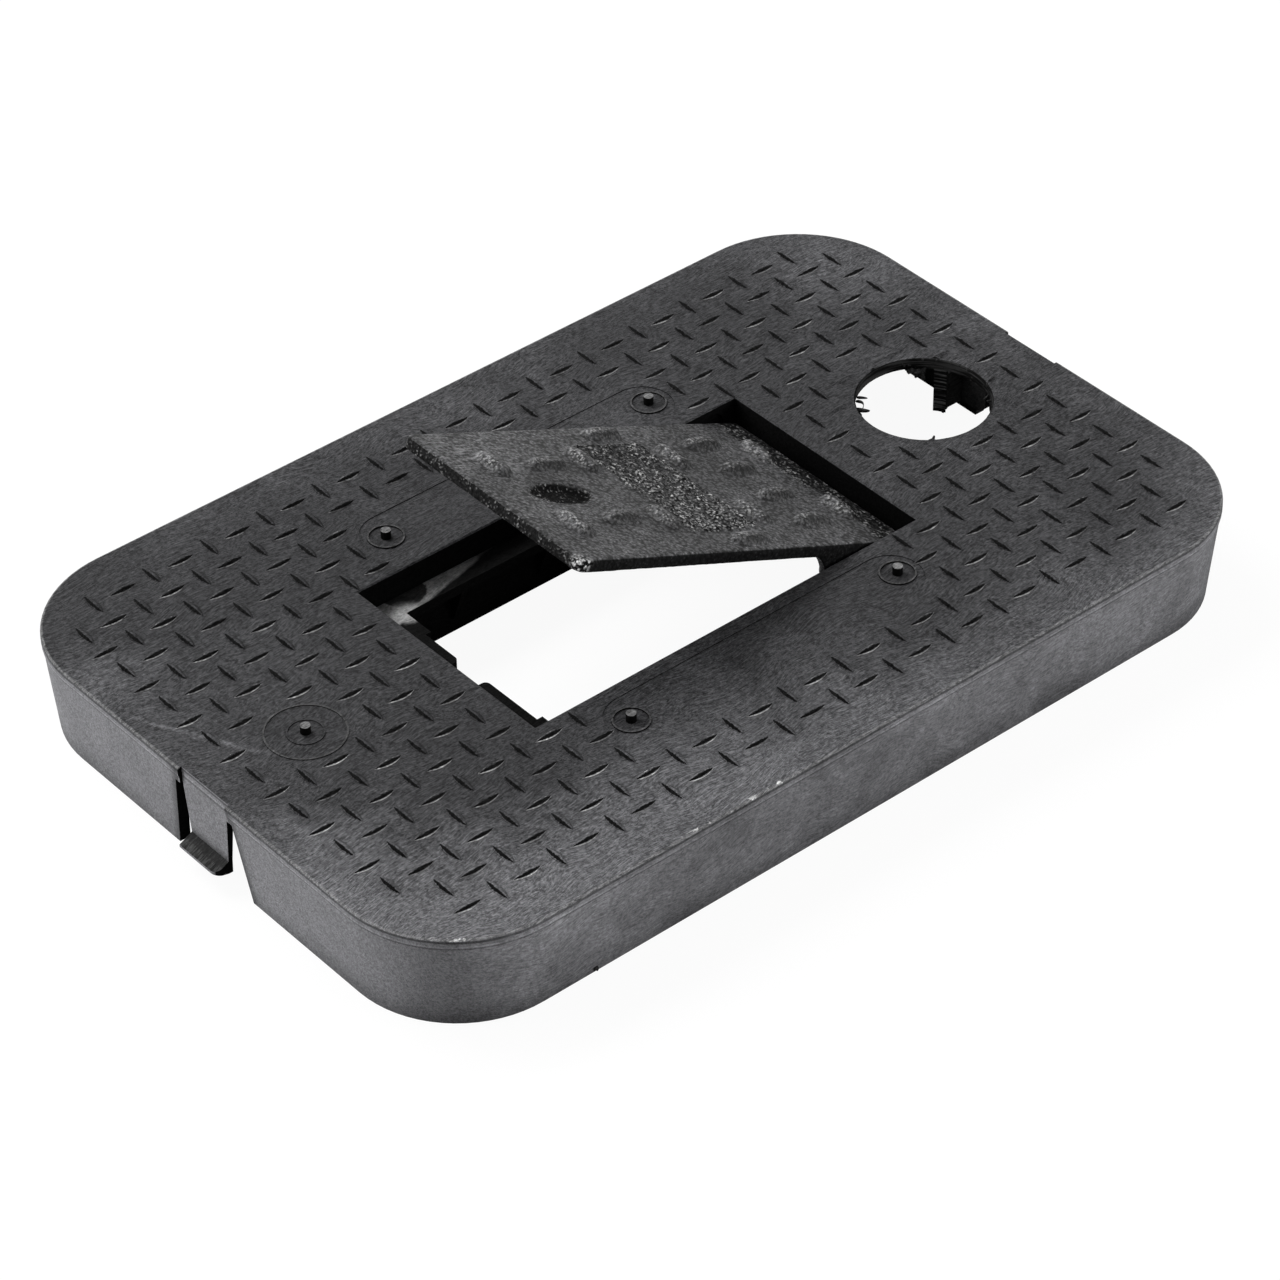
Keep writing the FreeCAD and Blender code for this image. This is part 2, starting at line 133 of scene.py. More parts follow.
def fields(node):
    return [Field(socket) for socket in node.outputs]


def most(first, *others):
    for other in others:
        first = other.calc("MAXIMUM", first, other)
    return first


def mixColor(tree, fac, a, b, how):
    mix = addNode(tree, "ShaderNodeMix", {0: fac, 6: a, 7: b}, data_type="RGBA", blend_type=how)
    return Field(mix.outputs[2])


def attribute(tree, label):
    return Field(addNode(tree, "ShaderNodeAttribute", attribute_name=label).outputs["Fac"])


# painted shade: ambient occlusion darkens the colour in creases and corners, where shade falls
def creaseShaded(color, distance, *tone):  # darker in the crooks
    crook = addNode(color.tree, "ShaderNodeAmbientOcclusion", {"Distance": distance}, samples=6, only_local=True)
    return Field(crook.outputs["AO"]).step(*tone).shade(color)


def grey(level, cool=1.0):
    return (level, level, level * cool, 1.0)


def newGroup(name, inputs, outputs):
    group = bpy.data.node_groups.new(name, "ShaderNodeTree")
    for label, kind, value in inputs:
        socket = group.interface.new_socket(label, in_out="INPUT", socket_type=kind)
        if value is not None:
            socket.default_value = value
    for label in outputs:
        group.interface.new_socket(label, in_out="OUTPUT", socket_type="NodeSocketFloat")
    given = group.nodes.new("NodeGroupInput").outputs
    return group, [Field(given[label]) for label, kind, value in inputs], group.nodes.new("NodeGroupOutput")


swirlWeave = {
    "wander": 15.0, "bend": 0.03, "fineness": 1900.0, "hairGrain": (5.0, 0.72), "tilt": (0.35, 0.2), "squash": 0.8,
    "sets": ((0.7, 0.09), (-0.35, 0.11), (1.75, 0.13)),  # turn and stretch of each set of hair scratches
    "hair": (0.56, 0.66), "choice": (0.42, 0.58), "choiceScale": 30.0, "shares": (0.7, 0.3),
    "mottle": (680.0, 5.0, 0.75, 0.3),
}


def makeSwirlGroup(weave):  # hair scratches in bent, crossing sets, and the mottle of foamed plastic
    group, (spot, bend, fineness), end = newGroup(
        "foamSwirl",
        [("Vector", "NodeSocketVector", None), ("Bend", "NodeSocketFloat", weave["bend"]),
         ("Fineness", "NodeSocketFloat", weave["fineness"])],
        ["Streak", "Hair", "Mottle"],
    )
    wander = addNode(group, "ShaderNodeTexNoise", {"Vector": spot, "Scale": weave["wander"], "Detail": 2.0})
    centred = Field(wander.outputs["Color"]).vectorMath("SUBTRACT", (0.5, 0.5, 0.5))
    push = addNode(group, "ShaderNodeVectorMath", {0: centred, "Scale": bend}, operation="SCALE")
    bent = spot.vectorMath("ADD", Field(push.outputs[0]))
    layers = []
    for turn, stretch in weave["sets"]:
        laid = bent.mapped(Rotation=(*weave["tilt"], turn), Scale=(stretch, 1.0, weave["squash"]))
        layers.append(laid.noise(fineness, *weave["hairGrain"]))
    choice = spot.noise(weave["choiceScale"], 2.0).step(*weave["choice"])
    shares = weave["shares"]
    setInputs(end, {
        "Streak": choice.blend(layers[0], layers[1]) * shares[0] + layers[2] * shares[1],
        "Hair": most(*(layer.step(*weave["hair"]) for layer in layers)),
        "Mottle": spot.noise(*weave["mottle"]),
    })
    return group


def makeCrumbGroup():  # gritty relief of a sand mould or of torn plastic
    group, (spot, size), end = newGroup(
        "crumb", [("Vector", "NodeSocketVector", None), ("Size", "NodeSocketFloat", 0.0009)], ["Height", "Pits"])
    per = 1.0 / size
    fine = spot.noise(per, 3.0, 0.6)
    cells = addNode(group, "ShaderNodeTexVoronoi", {
        "Vector": spot, "Scale": per * 0.6, "Randomness": 1.0}, feature="SMOOTH_F1")
    setInputs(end, {"Height": fine + (0.75 - Field(cells.outputs["Distance"])), "Pits": fine.step(0.36, 0.5)})
    return group


foamSwirl = makeSwirlGroup(swirlWeave)
crumb = makeCrumbGroup()


def emptyTree(owner):
    owner.use_nodes = True
    owner.node_tree.nodes.clear()
    return owner.node_tree


def newMaterial(name, specular):
    material = bpy.data.materials.new(name)
    tree = emptyTree(material)
    shader = addNode(tree, "ShaderNodeBsdfPrincipled", {"Metallic": 0.0, "Specular IOR Level": specular})
    addNode(tree, "ShaderNodeOutputMaterial", {"Surface": Field(shader.outputs[0])})
    place = addNode(tree, "ShaderNodeTexCoord").outputs
    return material, shader, Field(place["Object"]), Field(place["Normal"])


# cover: moulded structural foam

coverLook = {  # most pairs are a soft step from 0 to 1, and two more numbers say what it steps between
    "halfLength": 0.2191, "halfWidth": 0.143, "cornerRadius": 0.053, "top": 0.045,
    "wallFoot": 0.0065, "wallDraft": 0.0874, "skirtSide": (0.0004, -0.0004),
    "topZ": (0.0436, 0.0444), "topFacing": (0.35, 0.6), "slitFacing": (0.5, 0.7), "slitHalf": (0.06, 0.055),
    # greys
    "cool": 1.05, "plain": 0.0445, "dusty": 0.15, "inside": 0.006, "insideByHole": 0.03,
    "skirt": 0.125, "skirtDusty": 0.25, "endWall": 0.25, "lugFlank": 0.009, "lugFoot": 0.72, "ring": 0.1,
    "wornEdge": 0.85, "rimHighlight": 0.3, "ledge": 0.012, "ledgeLitPatch": 0.3, "barb": 0.028, "gateTopHighlight": 0.22,
    # dust on the top, with one painted lift of light
    "patches": (11.0, 4.0, 0.6, 0.8), "clouds": (42.0, 5.0, 0.62, 1.2),
    "edgeDust": (0.05, 0.0), "frontDust": (-0.06, -0.14), "dustyCorner": (-0.205, -0.13, 0.045),
    "cornerDust": (0.12, 0.01), "cornerBand": (0.018, 0.011),
    "dustShares": {"patches": 0.85, "edge": 0.12, "corner": 0.5, "front": 0.22, "band": 0.3, "mottle": 0.4},
    "drifts": (0.0, 0.8, 0.3, 1.1), "dustAndLightRange": (0.4, 1.2),
    "dustAndLightSpots": [  # x, y, radius, dust; the first is painted light where the open lid shades the near panel
        (-0.055, -0.108, 0.1, 0.37), (0.195, 0.1, 0.065, 0.26), (-0.12, -0.125, 0.05, 0.12),
        (-0.21, 0.078, 0.035, 0.22),
    ],
    "flowMarks": [  # pale flow lines: two ends, half width, dust
        (-0.2137, 0.0525, -0.1854, -0.0024, 0.0024, 0.3), (-0.198, -0.1165, -0.145, -0.1385, 0.006, 0.3),
        (-0.206, -0.03, -0.193, -0.085, 0.005, 0.16), (-0.1, -0.128, -0.02, -0.134, 0.005, 0.16),
    ],
    "flowWaver": 0.02, "flowStart": (-0.004, 0.008), "flowEnd": (0.004, -0.012),
    "gates": [  # smoother, darker rounds about the gate stubs: x, y, radius
        (-0.169, 0.0, 0.0164), (-0.0698, -0.0768, 0.0074), (0.0698, -0.0768, 0.0074),
        (-0.0698, 0.0768, 0.0074), (0.0698, 0.0768, 0.0074),
    ],
    "gateSoft": 0.0006, "gateTone": 0.8, "gateRing": (0.0007, 0.0003, 0.0, 0.5),
    "gateTopHighlightZ": (0.0476, 0.0481, 0.0, 0.75),
    # skirt, its rim lines, barb and tongue
    "skirtMottle": (0.33, 0.69), "endFacing": (0.55, 0.95), "endShare": 0.6,
    # painted shade: the skirt darker towards its foot and on its rounded corners
    "foot": (0.002, 0.017, 0.62, 1.0), "footWaver": 0.008, "cornerFacing": (0.3, 0.68, 1.0, 0.78),
    "rimLines": [  # up, down and tone: a painted shade line at the rim's edge, painted shade below its step and a painted highlight above it
        ((0.0431, 0.0437), (0.0446, 0.0443), 0.4), ((0.0396, 0.0403), (0.0412, 0.0409), 0.6),
        ((0.041, 0.0413), (0.0422, 0.0418), 1.3),
    ],
    "barbFacing": (0.2, 0.4), "barbZ": (0.021, 0.018), "dragged": (0.12, 1.0, 0.3),
    "dragGrain": (1100.0, 4.0, 0.65), "dragTone": (0.4, 0.62, 0.5, 2.6),
    # painted shade at the tongue's foot and beside its slots
    "tongueHalf": (0.0168, 0.0162), "tongueZ": (0.0112, 0.0116), "tongueShadeFade": (0.0178, 0.0118, 0.0, 0.65),
    "slotLean": 0.16, "slotShadeFade": (0.029, 0.0235, 0.0, 0.6), "slotEdge": (0.0218, 0.0222), "shadeTone": 0.5,
    # inside walls, painted near black as shade, and the ledge of the opening, with a painted patch of light and
    # the lid's painted shadow
    "byHole": (0.116, 0.126), "ledgeRise": (0.0318, 0.0323), "ledgeFall": (0.0335, 0.0328),
    "ledgeFacing": (0.5, 0.9), "ledgeClouds": (60.0, 5.0, 0.6, 0.8), "lightPoolFrom": 0.0596, "lightPoolSlope": 0.25,
    "lightPoolWaver": 0.002, "lightPoolEdge": (0.0488, 0.0508), "lightPoolFade": (-0.03, -0.055, 0.35, 1.0),
    "lightPoolTone": (0.3, 0.6, 0.55, 1.0),
    "ledgeMarks": [  # the lid's painted shadow, then a painted patch of light: place, waver, soft edge, grey
        ((-0.0785, 0.0568, 0.0323), -0.008, (0.0066, 0.0056, 0.0, 0.92), 0.012),
        ((-0.085, 0.0455, 0.0323), -0.006, (0.006, 0.0, 0.0, 0.8), 0.55),
    ],
    # lug flanks, painted darker as shade on the sides facing -X and -Y, and the pale line at their feet, dust with
    # a painted highlight
    "lugGrain": (900.0, 3.0, 0.6), "flankWaver": 1.1, "flankEdge": (0.3, 0.55),
    "flankShadeSide": (0.02, -0.15, 0.32, 1.0), "footGrain": (45.0, 3.0), "footPatch": (0.38, 0.6, 0.25, 1.0),
    "footFade": (0.08, -0.1, 0.6, 1.0), "footLineWaver": 0.5, "footEdge": (0.44, 0.7),
    # bare bits and the painted highlight along the edge
    "bareBits": [  # x, y, radius
        (-0.092, -0.142, 0.009), (-0.0698, -0.1425, 0.008), (-0.2015, -0.1305, 0.009), (-0.052, -0.1425, 0.006),
    ],
    "bareInset": (0.0022, 0.0012), "bareZ": (0.0444, 0.0447), "bareSoft": 0.6,
    "chipGrain": (260.0, 2.0), "chips": (0.47, 0.54),
    "lightInset": (0.0014, 0.0008), "lightZ": (0.0443, 0.0446), "lightShare": 0.4,
    # painted shade in the crooks, grain and gloss
    "creaseShade": (0.003, 0.35, 0.9, 0.5, 1.0), "grainShares": (0.65, 0.35), "topGrain": (0.4, 0.6, 0.2, 1.6),
    "topHair": 0.9, "dustedGrain": (0.0, 0.6, 0.9, 0.8), "skirtGrain": (0.38, 0.62, 0.52, 1.4),
    "skirtHair": 0.12, "scuffShares": (0.4, 0.6), "roughness": (0.1, 0.8, 0.58, 0.78), "specular": 0.1,
    "flankSpecular": 0.01, "mottleBump": (0.0006, 0.7), "streakBump": (0.0002, 0.9),  # relief and strength
}


def coverFields(look, spot, normal):  # the places, faces and noises that every part of the look reads
    at = SimpleNamespace(spot=spot, patches=spot.noise(*look["patches"]), clouds=spot.noise(*look["clouds"]))
    at.x, at.y, at.z = spot.xyz()
    at.faceX, at.faceY, at.faceZ = normal.xyz()
    at.streak, at.hair, at.mottle = spot.group(foamSwirl)

    # distance in from the cover's outline
    dx = abs(at.x) - (look["halfLength"] - look["cornerRadius"])
    dy = abs(at.y) - (look["halfWidth"] - look["cornerRadius"])
    px, py = (d.calc("MAXIMUM", d, 0.0) for d in (dx, dy))
    reach = px * px + py * py
    within = most(dx, dy)
    at.inset = look["cornerRadius"] - (reach.calc("SQRT", reach) + within.calc("MINIMUM", within, 0.0))

    # which face of the moulding this is
    at.onTop = at.z.step(*look["topZ"]) * at.faceZ.step(*look["topFacing"])
    wallDepth = look["wallFoot"] - at.z * look["wallDraft"]
    slit = abs(at.faceY).step(*look["slitFacing"]) * abs(at.y).step(*look["slitHalf"])
    at.onSkirt = (at.inset - wallDepth).step(*look["skirtSide"]) * (1.0 - slit)
    return at


def coverDustAndLight(look, at):  # gathers near the edge, in broad patches, in spots and along flow lines; the first spot is painted light, lifting the near panel where the open lid shades it
    share = look["dustShares"]
    nearEdge = at.inset.step(*look["edgeDust"])
    nearCorner = at.spot.to(look["dustyCorner"]).step(*look["cornerDust"])
    nearFront = at.y.step(*look["frontDust"])
    cornerBand = at.inset.step(*look["cornerBand"]) * nearCorner
    amount = at.patches * share["patches"] + nearEdge * share["edge"] + nearCorner * share["corner"]
    amount = amount + nearFront * nearEdge * share["front"] + cornerBand * share["band"]
    # spots of dust, and one painted light over the lid's shadow on the near panel
    for x, y, radius, extra in look["dustAndLightSpots"]:
        amount = amount + at.spot.to((x, y, look["top"])).step(radius, 0.0, 0.0, extra)
    for x0, y0, x1, y1, width, extra in look["flowMarks"]:
        length = math.hypot(x1 - x0, y1 - y0)
        lineX, lineY = (x1 - x0) / length, (y1 - y0) / length
        fromX, fromY = at.x - x0, at.y - y0
        along = fromX * lineX + fromY * lineY
        across = fromY * lineX - fromX * lineY + (at.patches - 0.5) * look["flowWaver"]
        mark = along.step(*look["flowStart"]) * along.step(*(length + end for end in look["flowEnd"]))
        amount = amount + mark * abs(across).step(width, 0.0, 0.0, extra)
    drifts = (at.clouds - 0.5) * nearCorner.step(*look["drifts"])
    amount = amount + (at.mottle - 0.5) * share["mottle"] + drifts
    return amount.step(*look["dustAndLightRange"])


def topColor(look, at, dustAndLight):
    cool = look["cool"]
    color = dustAndLight.tint(grey(look["plain"], cool), grey(look["dusty"], cool))
    for x, y, radius in look["gates"]:
        off = at.spot.to((x, y, look["top"]))
        within = off.step(radius, radius - look["gateSoft"], 0.0, 0.5)
        color = within.tint(color, grey(look["plain"] * look["gateTone"], cool))
        color = abs(off - (radius - 0.0001)).step(*look["gateRing"]).tint(color, grey(look["ring"]))
    # painted highlight on the top of each gate stub
    return at.z.step(*look["gateTopHighlightZ"]).tint(color, grey(look["gateTopHighlight"]))


def skirtColor(look, at):
    cool = look["cool"]
    mottle = (at.patches * 0.5 + at.clouds * 0.5).step(*look["skirtMottle"])
    color = mottle.tint(grey(look["skirt"], cool), grey(look["skirtDusty"], cool))
    # painted light: the end walls are paler, standing for the light that falls on them from the sides
    endWall = abs(at.faceX).step(*look["endFacing"]) * look["endShare"]
    color = endWall.tint(color, grey(look["endWall"], cool))
    # painted shade towards the skirt's foot
    tone = (at.z + at.patches * look["footWaver"]).step(*look["foot"])
    # painted shade and highlight lines along the rim
    for rise, fall, strength in look["rimLines"]:
        tone = tone * (at.z.step(*rise) * at.z.step(*fall)).step(0.0, 1.0, 1.0, strength)
    # painted shade on the rounded corners
    atCorner = at.faceX.calc("MINIMUM", abs(at.faceX), abs(at.faceY))
    color = (tone * atCorner.step(*look["cornerFacing"])).shade(color)

    # the tongue's barb, with drag marks, and painted shade at the foot of the tongue and beside its slots
    barb = at.faceZ.step(*look["barbFacing"]) * at.z.step(*look["barbZ"])
    dragged = at.spot.mapped(Scale=look["dragged"]).noise(*look["dragGrain"]).step(*look["dragTone"])
    color = barb.tint(color, dragged.shade(grey(look["barb"])))
    across = abs(at.y)
    tongueAndSlotShade = across.step(*look["tongueHalf"]) * at.z.step(*look["tongueZ"]) * at.z.step(*look["tongueShadeFade"])
    toSlot = across + at.z * look["slotLean"]
    tongueAndSlotShade = most(tongueAndSlotShade, toSlot.step(*look["slotShadeFade"]) * toSlot.step(*look["slotEdge"]))
    return tongueAndSlotShade.tint(color, grey(look["plain"] * look["shadeTone"]))


def insideColor(look, at):
    cloudy = at.spot.noise(*look["ledgeClouds"])
    # painted light: a patch of light through the opening lies on the ledge, with the lid's painted shadow cut out
    # of it
    past = at.y - (at.x + look["lightPoolFrom"]) * look["lightPoolSlope"]
    lightPool = (past + cloudy * look["lightPoolWaver"]).step(*look["lightPoolEdge"]) * at.x.step(*look["lightPoolFade"])
    lightPool = lightPool * cloudy.step(*look["lightPoolTone"])
    ledge = lightPool.tint(grey(look["ledge"]), grey(look["ledgeLitPatch"]))
    for place, waver, edge, level in look["ledgeMarks"]:
        ledge = (at.spot.to(place) + cloudy * waver).step(*edge).tint(ledge, grey(level))
    # painted shade: the inner walls near black, paler by the hole
    walls = at.x.step(*look["byHole"]).tint(grey(look["inside"]), grey(look["insideByHole"]))
    onLedge = at.z.step(*look["ledgeRise"]) * at.z.step(*look["ledgeFall"]) * at.faceZ.step(*look["ledgeFacing"])
    return onLedge.tint(walls, ledge)


def lugColor(look, at, base):  # the flanks stay clean and dark, painted darker still as shade on the sides facing -X and -Y; the pale line along the near feet is dust with a painted highlight
    rough = at.spot.noise(*look["lugGrain"])
    bare = attribute(rough.tree, "flank") + (rough - 0.5) * look["flankWaver"]
    # painted shade: the flanks facing -X and -Y take the full dark, the far flanks only part of it
    flank = bare.step(*look["flankEdge"]) * (at.faceX + at.faceY).step(*look["flankShadeSide"])
    patchy = at.spot.noise(*look["footGrain"]).step(*look["footPatch"]) * at.x.step(*look["footFade"])
    footLine = attribute(rough.tree, "foot") + (rough - 0.5) * look["footLineWaver"]
    footLine = footLine.step(*look["footEdge"]) * patchy
    return footLine.tint(flank.tint(base, grey(look["lugFlank"])), grey(look["lugFoot"])), flank


def edgeColor(look, at, base):
    bitten = 0.0
    for x, y, radius in look["bareBits"]:
        bitten = most(bitten, at.spot.to((x, y, look["top"])).step(radius, radius * look["bareSoft"]))
    edge = at.inset.step(*look["bareInset"]) * at.z.step(*look["bareZ"])
    chips = at.spot.noise(*look["chipGrain"]).step(*look["chips"])
    base = (bitten * chips * edge).tint(base, grey(look["wornEdge"]))
    # painted highlight: a pale line just inside the top edge
    rimHighlight = at.inset.step(*look["lightInset"]) * at.z.step(*look["lightZ"]) * look["lightShare"]
    return rimHighlight.tint(base, grey(look["rimHighlight"]))


def makeCoverPlastic(look):
    material, shader, spot, normal = newMaterial("coverPlastic", look["specular"])
    at = coverFields(look, spot, normal)
    dustAndLight = coverDustAndLight(look, at)
    base = at.onSkirt.tint(insideColor(look, at), skirtColor(look, at))
    base = at.onTop.tint(base, topColor(look, at, dustAndLight))
    base, flank = lugColor(look, at, base)
    # painted shade over the whole cover colour, darker in the crooks
    base = creaseShaded(edgeColor(look, at, base), *look["creaseShade"])

    shares = look["grainShares"]
    grain = at.streak * shares[0] + at.mottle * shares[1]
    onTop = grain.step(*look["topGrain"]) + at.hair * look["topHair"]
    onTop = (onTop - 1.0) * dustAndLight.step(*look["dustedGrain"]) + 1.0
    onSkirt = grain.step(*look["skirtGrain"]) + at.hair * look["skirtHair"]
    outside = most(at.onTop, at.onSkirt)
    scuffs = look["scuffShares"]
    setInputs(shader, {
        "Base Color": at.onTop.blend(onSkirt, onTop).shade(base),
        "Roughness": (dustAndLight * scuffs[0] + at.streak * scuffs[1]).step(*look["roughness"]),
        "Normal": at.streak.bump(*look["streakBump"], Normal=at.mottle.bump(*look["mottleBump"])),
        "Specular IOR Level": outside * flank.step(0.0, 1.0, look["specular"], look["flankSpecular"]),
    })
    return material


def dressNode(name, material):
    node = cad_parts[name]
    node.data.materials.clear()
    node.data.materials.append(material)
    return node


coverPlastic = makeCoverPlastic(coverLook)
dressNode("cover", coverPlastic)
print("cover dressed")


# torn and sawn plastic

tornLook = {
    "name": "tornPlastic", "gloss": 0.25, "dark": 0.003, "light": 0.035, "size": 0.0007,
    "lie": (0.6, 0.6, 1.0), "tone": (0.76, 1.16), "wallZ": (0.0392, 0.0402), "wall": 1.0,
    "roughness": (0.5, 0.75), "relief": 0.0003,
}
# the sawn wall's 'wall' share paints shade on the wall above the ribs
sawnLook = {
    "name": "sawnPlastic", "gloss": 0.05, "dark": 0.002, "light": 0.16, "size": 0.0009,
    "lie": (0.08, 0.08, 1.3), "tone": (0.7, 1.08), "wallZ": (0.0392, 0.0402), "wall": 0.24,
    "roughness": (0.5, 0.75), "relief": 0.0003,
}


def makeTornPlastic(look):
    material, shader, spot, normal = newMaterial(look["name"], look["gloss"])
    height, pits = spot.mapped(Scale=look["lie"]).group(crumb, Size=look["size"])
    # painted shade: above the ribs the tone is scaled by the wall share
    tone = height.step(*look["tone"]) * spot.xyz()[2].step(*look["wallZ"], 1.0, look["wall"])
    setInputs(shader, {
        "Base Color": tone.tint(grey(look["dark"]), grey(look["light"])),
        "Roughness": pits.step(0.0, 1.0, *look["roughness"]),
        "Normal": height.bump(look["relief"]),
    })
    return material


tornPlastic = makeTornPlastic(tornLook)
sawnPlastic = makeTornPlastic(sawnLook)


# lid: sand cast iron

lidLook = {
    "pivot": (0.0875, 0.0, 0.0315), "open": 24.2, "top": 0.0382, "endX": -0.0916, "specular": 0.24,
    # greys
    "dark": 0.01, "skin": 0.075, "light": 0.24, "bright": 0.75, "gritDark": 0.006, "gritLight": 0.75,
    "domeLight": 0.34, "skinCool": 1.04, "lightCool": 1.03,
    # grain of the skin, its specks and clumps, and the masks they read
    "grain": 0.00085, "speckSize": 0.9, "clumpSize": 2.4, "broad": (26.0, 4.0, 0.6, 0.5),
    "sunk": (-0.0003, -0.0008), "endDepth": 0.0008, "endFacing": (0.5, 0.75),
    "sideFacing": (0.45, 0.8), "sideHalf": (0.052, 0.053), "endBurnt": 0.42,
    # dip coat, crests and the scuffed corner
    "levelShares": (0.75, 0.5), "skinRange": (0.7, 1.03), "crest": (0.98, 1.25), "crestPatch": (0.4, 0.6),
    "scuffTurn": 0.5, "scuffStretch": 0.25, "scuffGrain": (420.0, 4.0, 0.7), "scuffs": (0.52, 0.66),
    "scuffCorner": (-0.078, 0.046, 0.0382), "scuffReach": (0.045, 0.012), "scuffDepth": (-0.003, -0.002),
    # coarse sand grip on the ovals, pad, recess and end face
    "specks": (0.74, 1.18), "rareSpecks": (0.9, 1.3), "rareClumps": (0.6, 1.1), "clumps": (0.65, 1.05, 0.3, 1.1),
    "endSpecks": 0.7, "sparkle": (0.82, 1.16, 0.0, 0.7),
    "domeLitSide": (-0.72, 0.6, 0.325), "domeLitAndShaded": (-0.3, 0.3, 0.25, 1.75),
    # painted shade in the recess, darker sides, the corner worn bright, painted shade in the crooks, and gloss
    "sunkShade": 0.4, "sideDarkening": 0.9, "brightCorner": (-0.0928, -0.0544, 0.0375), "brightReach": (0.0075, 0.0025),
    "brightGrain": (0.7, 1.05), "creaseShade": (0.006, 0.3, 0.95, 0.4, 1.0), "roughness": (0.4, 1.2, 0.62, 0.42),
    "burntDull": 0.9, "gritDull": (0.0, 0.6, 0.9, 0.0), "dullSpecular": 0.01, "domeRugged": 0.6, "speckRise": 2.2,
    "bump": (0.0003, 0.95),
}


def ironFields(look, spot, normal):  # the places with the lid shut, and the grains and masks
    turn = math.radians(-look["open"])
    pivot = Vector(look["pivot"])
    shift = pivot - Matrix.Rotation(turn, 3, "Y") @ pivot
    at = SimpleNamespace(shut=spot.mapped(Rotation=(0.0, turn, 0.0), Location=tuple(shift)))
    at.x, at.y, at.z = at.shut.xyz()
    faceX, faceY = normal.xyz()[:2]
    at.grit, at.specks, at.clumps = (
        at.shut.group(crumb, Size=look["grain"] * size)[0] for size in (1.0, look["speckSize"], look["clumpSize"]))
    at.broad = at.shut.noise(*look["broad"])
    at.coarse, at.pit, at.dome = (attribute(spot.tree, label) for label in ("grit", "pit", "dome"))
    at.sunk = at.z.step(*(look["top"] + depth for depth in look["sunk"])) * at.coarse
    at.endFace = at.x.step(look["endX"] + look["endDepth"], look["endX"]) * abs(faceX).step(*look["endFacing"])
    at.side = abs(faceY).step(*look["sideFacing"]) * abs(at.y).step(*look["sideHalf"])
    at.burnt = most(at.sunk, at.endFace * look["endBurnt"], at.pit)
    return at


def ironSkin(look, at):  # dip coat over the cast skin, paler on crests and in the scuffed corner
    shares = look["levelShares"]
    level = (at.grit * shares[0] + at.broad * shares[1]).step(*look["skinRange"])
    crest = at.grit.step(*look["crest"]) * at.broad.step(*look["crestPatch"])
    scuffed = at.shut.mapped(Rotation=(0.0, 0.0, look["scuffTurn"]), Scale=(look["scuffStretch"], 1.0, 1.0))
    scuffs = scuffed.noise(*look["scuffGrain"]).step(*look["scuffs"])
    scuffs = scuffs * at.shut.to(look["scuffCorner"]).step(*look["scuffReach"])
    scuffs = scuffs * at.z.step(*(look["top"] + depth for depth in look["scuffDepth"]))
    skin = level.tint(grey(look["dark"]), grey(look["skin"], look["skinCool"]))
    return most(crest, scuffs).tint(skin, grey(look["light"], look["lightCool"]))


def makeCastIron(look):
    material, shader, spot, normal = newMaterial("castIron", look["specular"])
    at = ironFields(look, spot, normal)
    skin = ironSkin(look, at)

    # domes sparkle, and each oval is painted paler on its slope towards -X and +Y and darker on the far slope,
    # painted light and shade
    skin = (at.dome * at.specks.step(*look["sparkle"])).tint(skin, grey(look["domeLight"]))
    domeLitAndShaded = normal.vectorMath("DOT_PRODUCT", look["domeLitSide"], "Value").step(*look["domeLitAndShaded"])
    skin = at.dome.blend(1.0, domeLitAndShaded).shade(skin)

    # coarse sand, thin and rare where it is burnt
    rare = at.specks.step(*look["rareSpecks"]) * at.clumps.step(*look["rareClumps"])
    shown = at.specks.step(*look["specks"]) * at.clumps.step(*look["clumps"])
    shown = at.burnt.blend(shown, rare) * at.endFace.step(0.0, 1.0, 1.0, look["endSpecks"])
    skin = at.coarse.tint(skin, shown.tint(grey(look["gritDark"]), grey(look["gritLight"])))
    # painted shade in the recess; the sides are darkened too
    recessShadeAndDarkSides = most(at.sunk * look["sunkShade"], at.side * look["sideDarkening"])
    skin = recessShadeAndDarkSides.tint(skin, grey(look["gritDark"]))
    worn = at.shut.to(look["brightCorner"]).step(*look["brightReach"]) * at.grit.step(*look["brightGrain"])
    skin = worn.tint(skin, grey(look["bright"]))
    dull = most(at.burnt * look["burntDull"], at.side, at.coarse * shown.step(*look["gritDull"]))
    rugged = most(at.coarse, at.dome * look["domeRugged"])
    rise = at.grit + at.specks * rugged * look["speckRise"]
    setInputs(shader, {
        # painted shade in the crooks of the lid
        "Base Color": creaseShaded(skin, *look["creaseShade"]),
        "Metallic": worn,
        "Roughness": at.grit.step(*look["roughness"]),
        "Specular IOR Level": dull.step(0.0, 1.0, look["specular"], look["dullSpecular"]),
        "Normal": rise.bump(*look["bump"]),
    })
    return material


castIron = makeCastIron(lidLook)
lidNode = dressNode("reader_lid", castIron)


# helpers for meshes

def addObject(name, data):
    made = bpy.data.objects.new(name, data)
    bpy.context.scene.collection.objects.link(made)
    return made


def toMesh(bm, name):
    mesh = bpy.data.meshes.new(name)
    bm.to_mesh(mesh)
    bm.free()
    return mesh


def newPiece(bm, name, body, material, marks=()):
    bmesh.ops.recalc_face_normals(bm, faces=bm.faces)
    mesh = toMesh(bm, name)
    mesh.materials.append(material)
    mesh.polygons.foreach_set("use_smooth", [True] * len(mesh.polygons))
    for label, values in marks:
        mesh.attributes.new(label, "FLOAT", "POINT").data.foreach_set("value", values)
    piece = addObject(name, mesh)
    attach(piece, body)
    return piece


